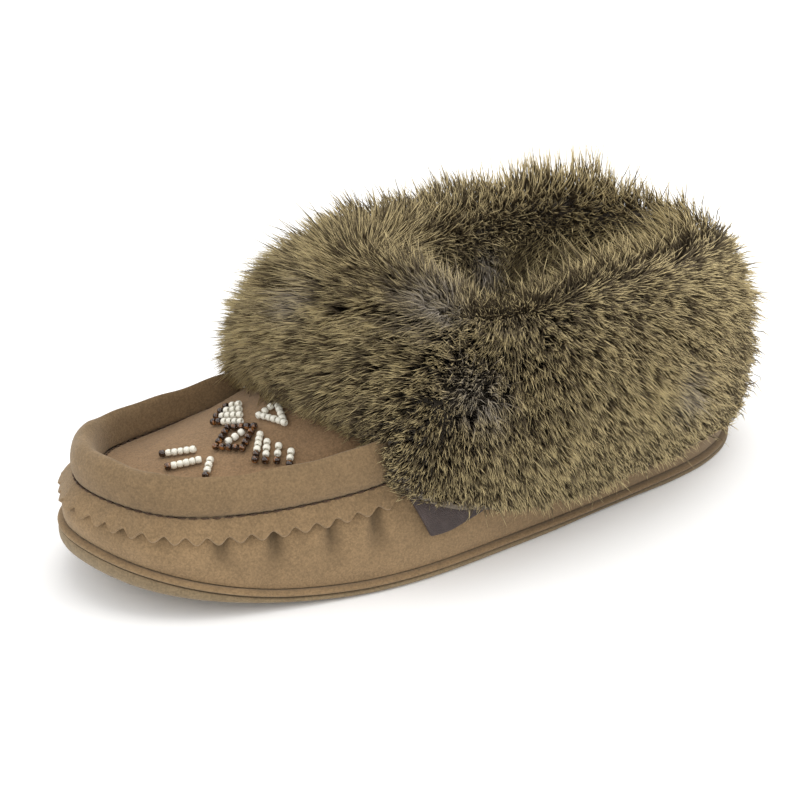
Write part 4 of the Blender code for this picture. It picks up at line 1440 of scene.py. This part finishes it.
    def lean_in(self, tip, u, q):
        """Ruffles the crown, and leans the near rim and the heel over the opening."""
        crown = np.exp(-(((q - 0.62) / 0.09) ** 2))
        tip = tip + self.random.normal(0.0, 1.0, tip.shape) * (self.crown_scatter * crown)[:, None]
        centre = self.outside.points[:, -1].mean(axis=0)
        inward = unit((centre - tip) * np.array([1.0, 1.0, 0.0]))
        lean = ease(0.24, 0.36, u) * (1 - ease(0.52, 0.62, u))
        lean = lean * ease(0.30, 0.70, q) * (1 - ease(0.78, 0.94, q))
        return tip + inward * (self.rim_lean * lean)[:, None]

    def shorten(self, root, tip):
        """Cuts hairs that reach out of the room the fur has round the shoe."""
        low, high = np.array(FUR_ROOM)
        way = tip - root
        way = np.where(np.abs(way) < 1e-6, 1e-6, way)
        share = np.maximum((high - root) / way, (low - root) / way).min(axis=1)
        return root + way * np.clip(share, 0.3, 1.0)[:, None]

    def paler(self, u, q):
        """Where the hair tone is paler, round the heel and outside on the far side: partly paler hair,
        partly painted light for the brighter light there.
        """
        heel = np.exp(-(((u - 0.47) / 0.13) ** 2))
        return heel + 0.6 * np.exp(-(((u - 0.64) / 0.07) ** 2)) * (q < 0.62)

    def write(self, name, path, width, tone, wool):
        """One mesh of three-sided hairs, closed to a point at both ends."""
        root, middle, tip = path
        count = len(root)
        way = unit(tip - root)
        side = unit(np.cross(way, np.array([0.31, 0.17, 0.93])))
        up = np.cross(way, side)
        verts = np.empty((count, 5, 3))
        verts[:, 0] = root
        verts[:, 4] = tip
        faces = []
        for corner in range(3):
            turn = 2 * math.pi * corner / 3
            out = side * math.cos(turn) + up * math.sin(turn)
            verts[:, 1 + corner] = middle + out * (width * 0.5)[:, None]
            after = (corner + 1) % 3
            faces.append((0, 1 + after, 1 + corner))
            faces.append((1 + corner, 1 + after, 4))
        faces = np.array(faces)[None] + (np.arange(count) * 5)[:, None, None]
        mesh = bpy.data.meshes.new(name)
        mesh.vertices.add(count * 5)
        mesh.vertices.foreach_set("co", verts.astype(np.float32).ravel())
        mesh.loops.add(faces.size)
        mesh.loops.foreach_set("vertex_index", faces.astype(np.int32).ravel())
        mesh.polygons.add(faces.size // 3)
        mesh.polygons.foreach_set("loop_start", np.arange(0, faces.size, 3, dtype=np.int32))
        mesh.update(calc_edges=True)
        along = np.array([0.0, self.widest, self.widest, self.widest, 1.0])
        values = np.ones((count, 5, 4))
        values[:, :, 0] = along[None, :]
        values[:, :, 1] = tone[:, None]
        values[:, :, 2] = wool[:, None] * (1.0 - 0.35 * along[None, :])
        strand = mesh.attributes.new("strand", "FLOAT_COLOR", "POINT")
        strand.data.foreach_set("color", values.astype(np.float32).ravel())
        add_piece(name, mesh, material("hair"), smooth_angle=0)


class SLIPPER_OT_stage(bpy.types.Operator):
    """Sets the floor, the soft light and the camera"""

    bl_idname = "slipper.stage"
    bl_label = "Stage"

    target = (0.0, -0.014, 0.0381)
    azimuth = math.radians(55.2)
    elevation = math.radians(24.7)
    distance = 0.446
    lens = 60.0

    def execute(self, context):
        self.floor()
        self.camera()
        self.lights()
        return {"FINISHED"}

    def floor(self):
        body = bmesh.new()
        bmesh.ops.create_grid(body, x_segments=2, y_segments=2, size=6.0)
        mesh = bpy.data.meshes.new("floor")
        body.to_mesh(mesh)
        body.free()
        nodes, shader = new_material("floor")
        nodes.feed(shader, Base_Color=rgba((0.97, 0.97, 0.97)), Roughness=0.9, Specular_IOR_Level=0.1)
        mesh.materials.append(material("floor"))
        item = bpy.data.objects.new("floor", mesh)
        bpy.context.scene.collection.objects.link(item)

    def camera(self):
        back = Vector((
            math.sin(self.azimuth) * math.cos(self.elevation),
            -math.cos(self.azimuth) * math.cos(self.elevation),
            math.sin(self.elevation),
        ))
        camera = bpy.data.cameras.new("camera")
        camera.lens = self.lens
        camera.sensor_width = 36.0
        camera.clip_start = 0.01
        item = bpy.data.objects.new("camera", camera)
        item.location = Vector(self.target) + back * self.distance
        item.rotation_euler = back.to_track_quat("Z", "Y").to_euler()
        bpy.context.scene.collection.objects.link(item)
        bpy.context.scene.camera = item

    def lights(self):
        for name, place, size, power, colour in (
            # name, place, size, power in watts, colour
            ("overhead softbox", (-0.15, 0.25, 1.35), 1.3, 8.0, (1.0, 0.985, 0.96)),
            ("front softbox", (0.9, -0.9, 0.75), 1.0, 3.0, (1.0, 0.98, 0.95)),
            ("back softbox", (0.9, 0.9, 0.9), 0.8, 6.5, (1.0, 0.98, 0.95)),
            ("toe softbox", (-0.7, -1.0, 0.8), 0.9, 2.0, (0.96, 0.98, 1.0)),
        ):
            light = bpy.data.lights.new(name, "AREA")
            light.size = size
            light.energy = power
            light.color = colour
            item = bpy.data.objects.new(name, light)
            item.location = place
            back = Vector(place) - Vector(self.target)
            item.rotation_euler = back.to_track_quat("Z", "Y").to_euler()
            bpy.context.scene.collection.objects.link(item)
        world = bpy.data.worlds.new("studio")
        world.use_nodes = True
        background = world.node_tree.nodes["Background"]
        Nodes(world.node_tree).feed(background, Color=rgba((1.0, 1.0, 1.0)), Strength=0.95)
        bpy.context.scene.world = world
        bpy.context.scene.view_settings.view_transform = "Standard"


class SLIPPER_PT_panel(bpy.types.Panel):
    """Lists the slipper's settings and steps"""

    bl_idname = "SLIPPER_PT_panel"
    bl_label = "Moccasin slipper"
    bl_space_type = "VIEW_3D"
    bl_region_type = "UI"
    bl_category = "Slipper"

    def draw(self, context):
        layout = self.layout
        for group in ("slipper_colours", "slipper_fur", "slipper_detail"):
            box = layout.box()
            settings = getattr(context.scene, group)
            for name in settings.__annotations__:
                box.prop(settings, name)
        for step in STEPS:
            layout.operator(step.bl_idname)


STEPS = (
    SLIPPER_OT_materials,
    SLIPPER_OT_sole,
    SLIPPER_OT_upper,
    SLIPPER_OT_roll,
    SLIPPER_OT_flap,
    SLIPPER_OT_stitches,
    SLIPPER_OT_tab,
    SLIPPER_OT_beads,
    SLIPPER_OT_fur,
    SLIPPER_OT_stage,
)
CLASSES = (SlipperColours, SlipperFur, SlipperDetail, *STEPS, SLIPPER_PT_panel)


def register():
    for item in CLASSES:
        bpy.utils.register_class(item)
    bpy.types.Scene.slipper_colours = PointerProperty(type=SlipperColours)
    bpy.types.Scene.slipper_fur = PointerProperty(type=SlipperFur)
    bpy.types.Scene.slipper_detail = PointerProperty(type=SlipperDetail)


def unregister():
    del bpy.types.Scene.slipper_detail
    del bpy.types.Scene.slipper_fur
    del bpy.types.Scene.slipper_colours
    for item in reversed(CLASSES):
        bpy.utils.unregister_class(item)


def main():
    register()
    clean_scene()
    for step in STEPS:
        family, action = step.bl_idname.split(".")
        getattr(getattr(bpy.ops, family), action)()


if __name__ == "__main__":
    main()
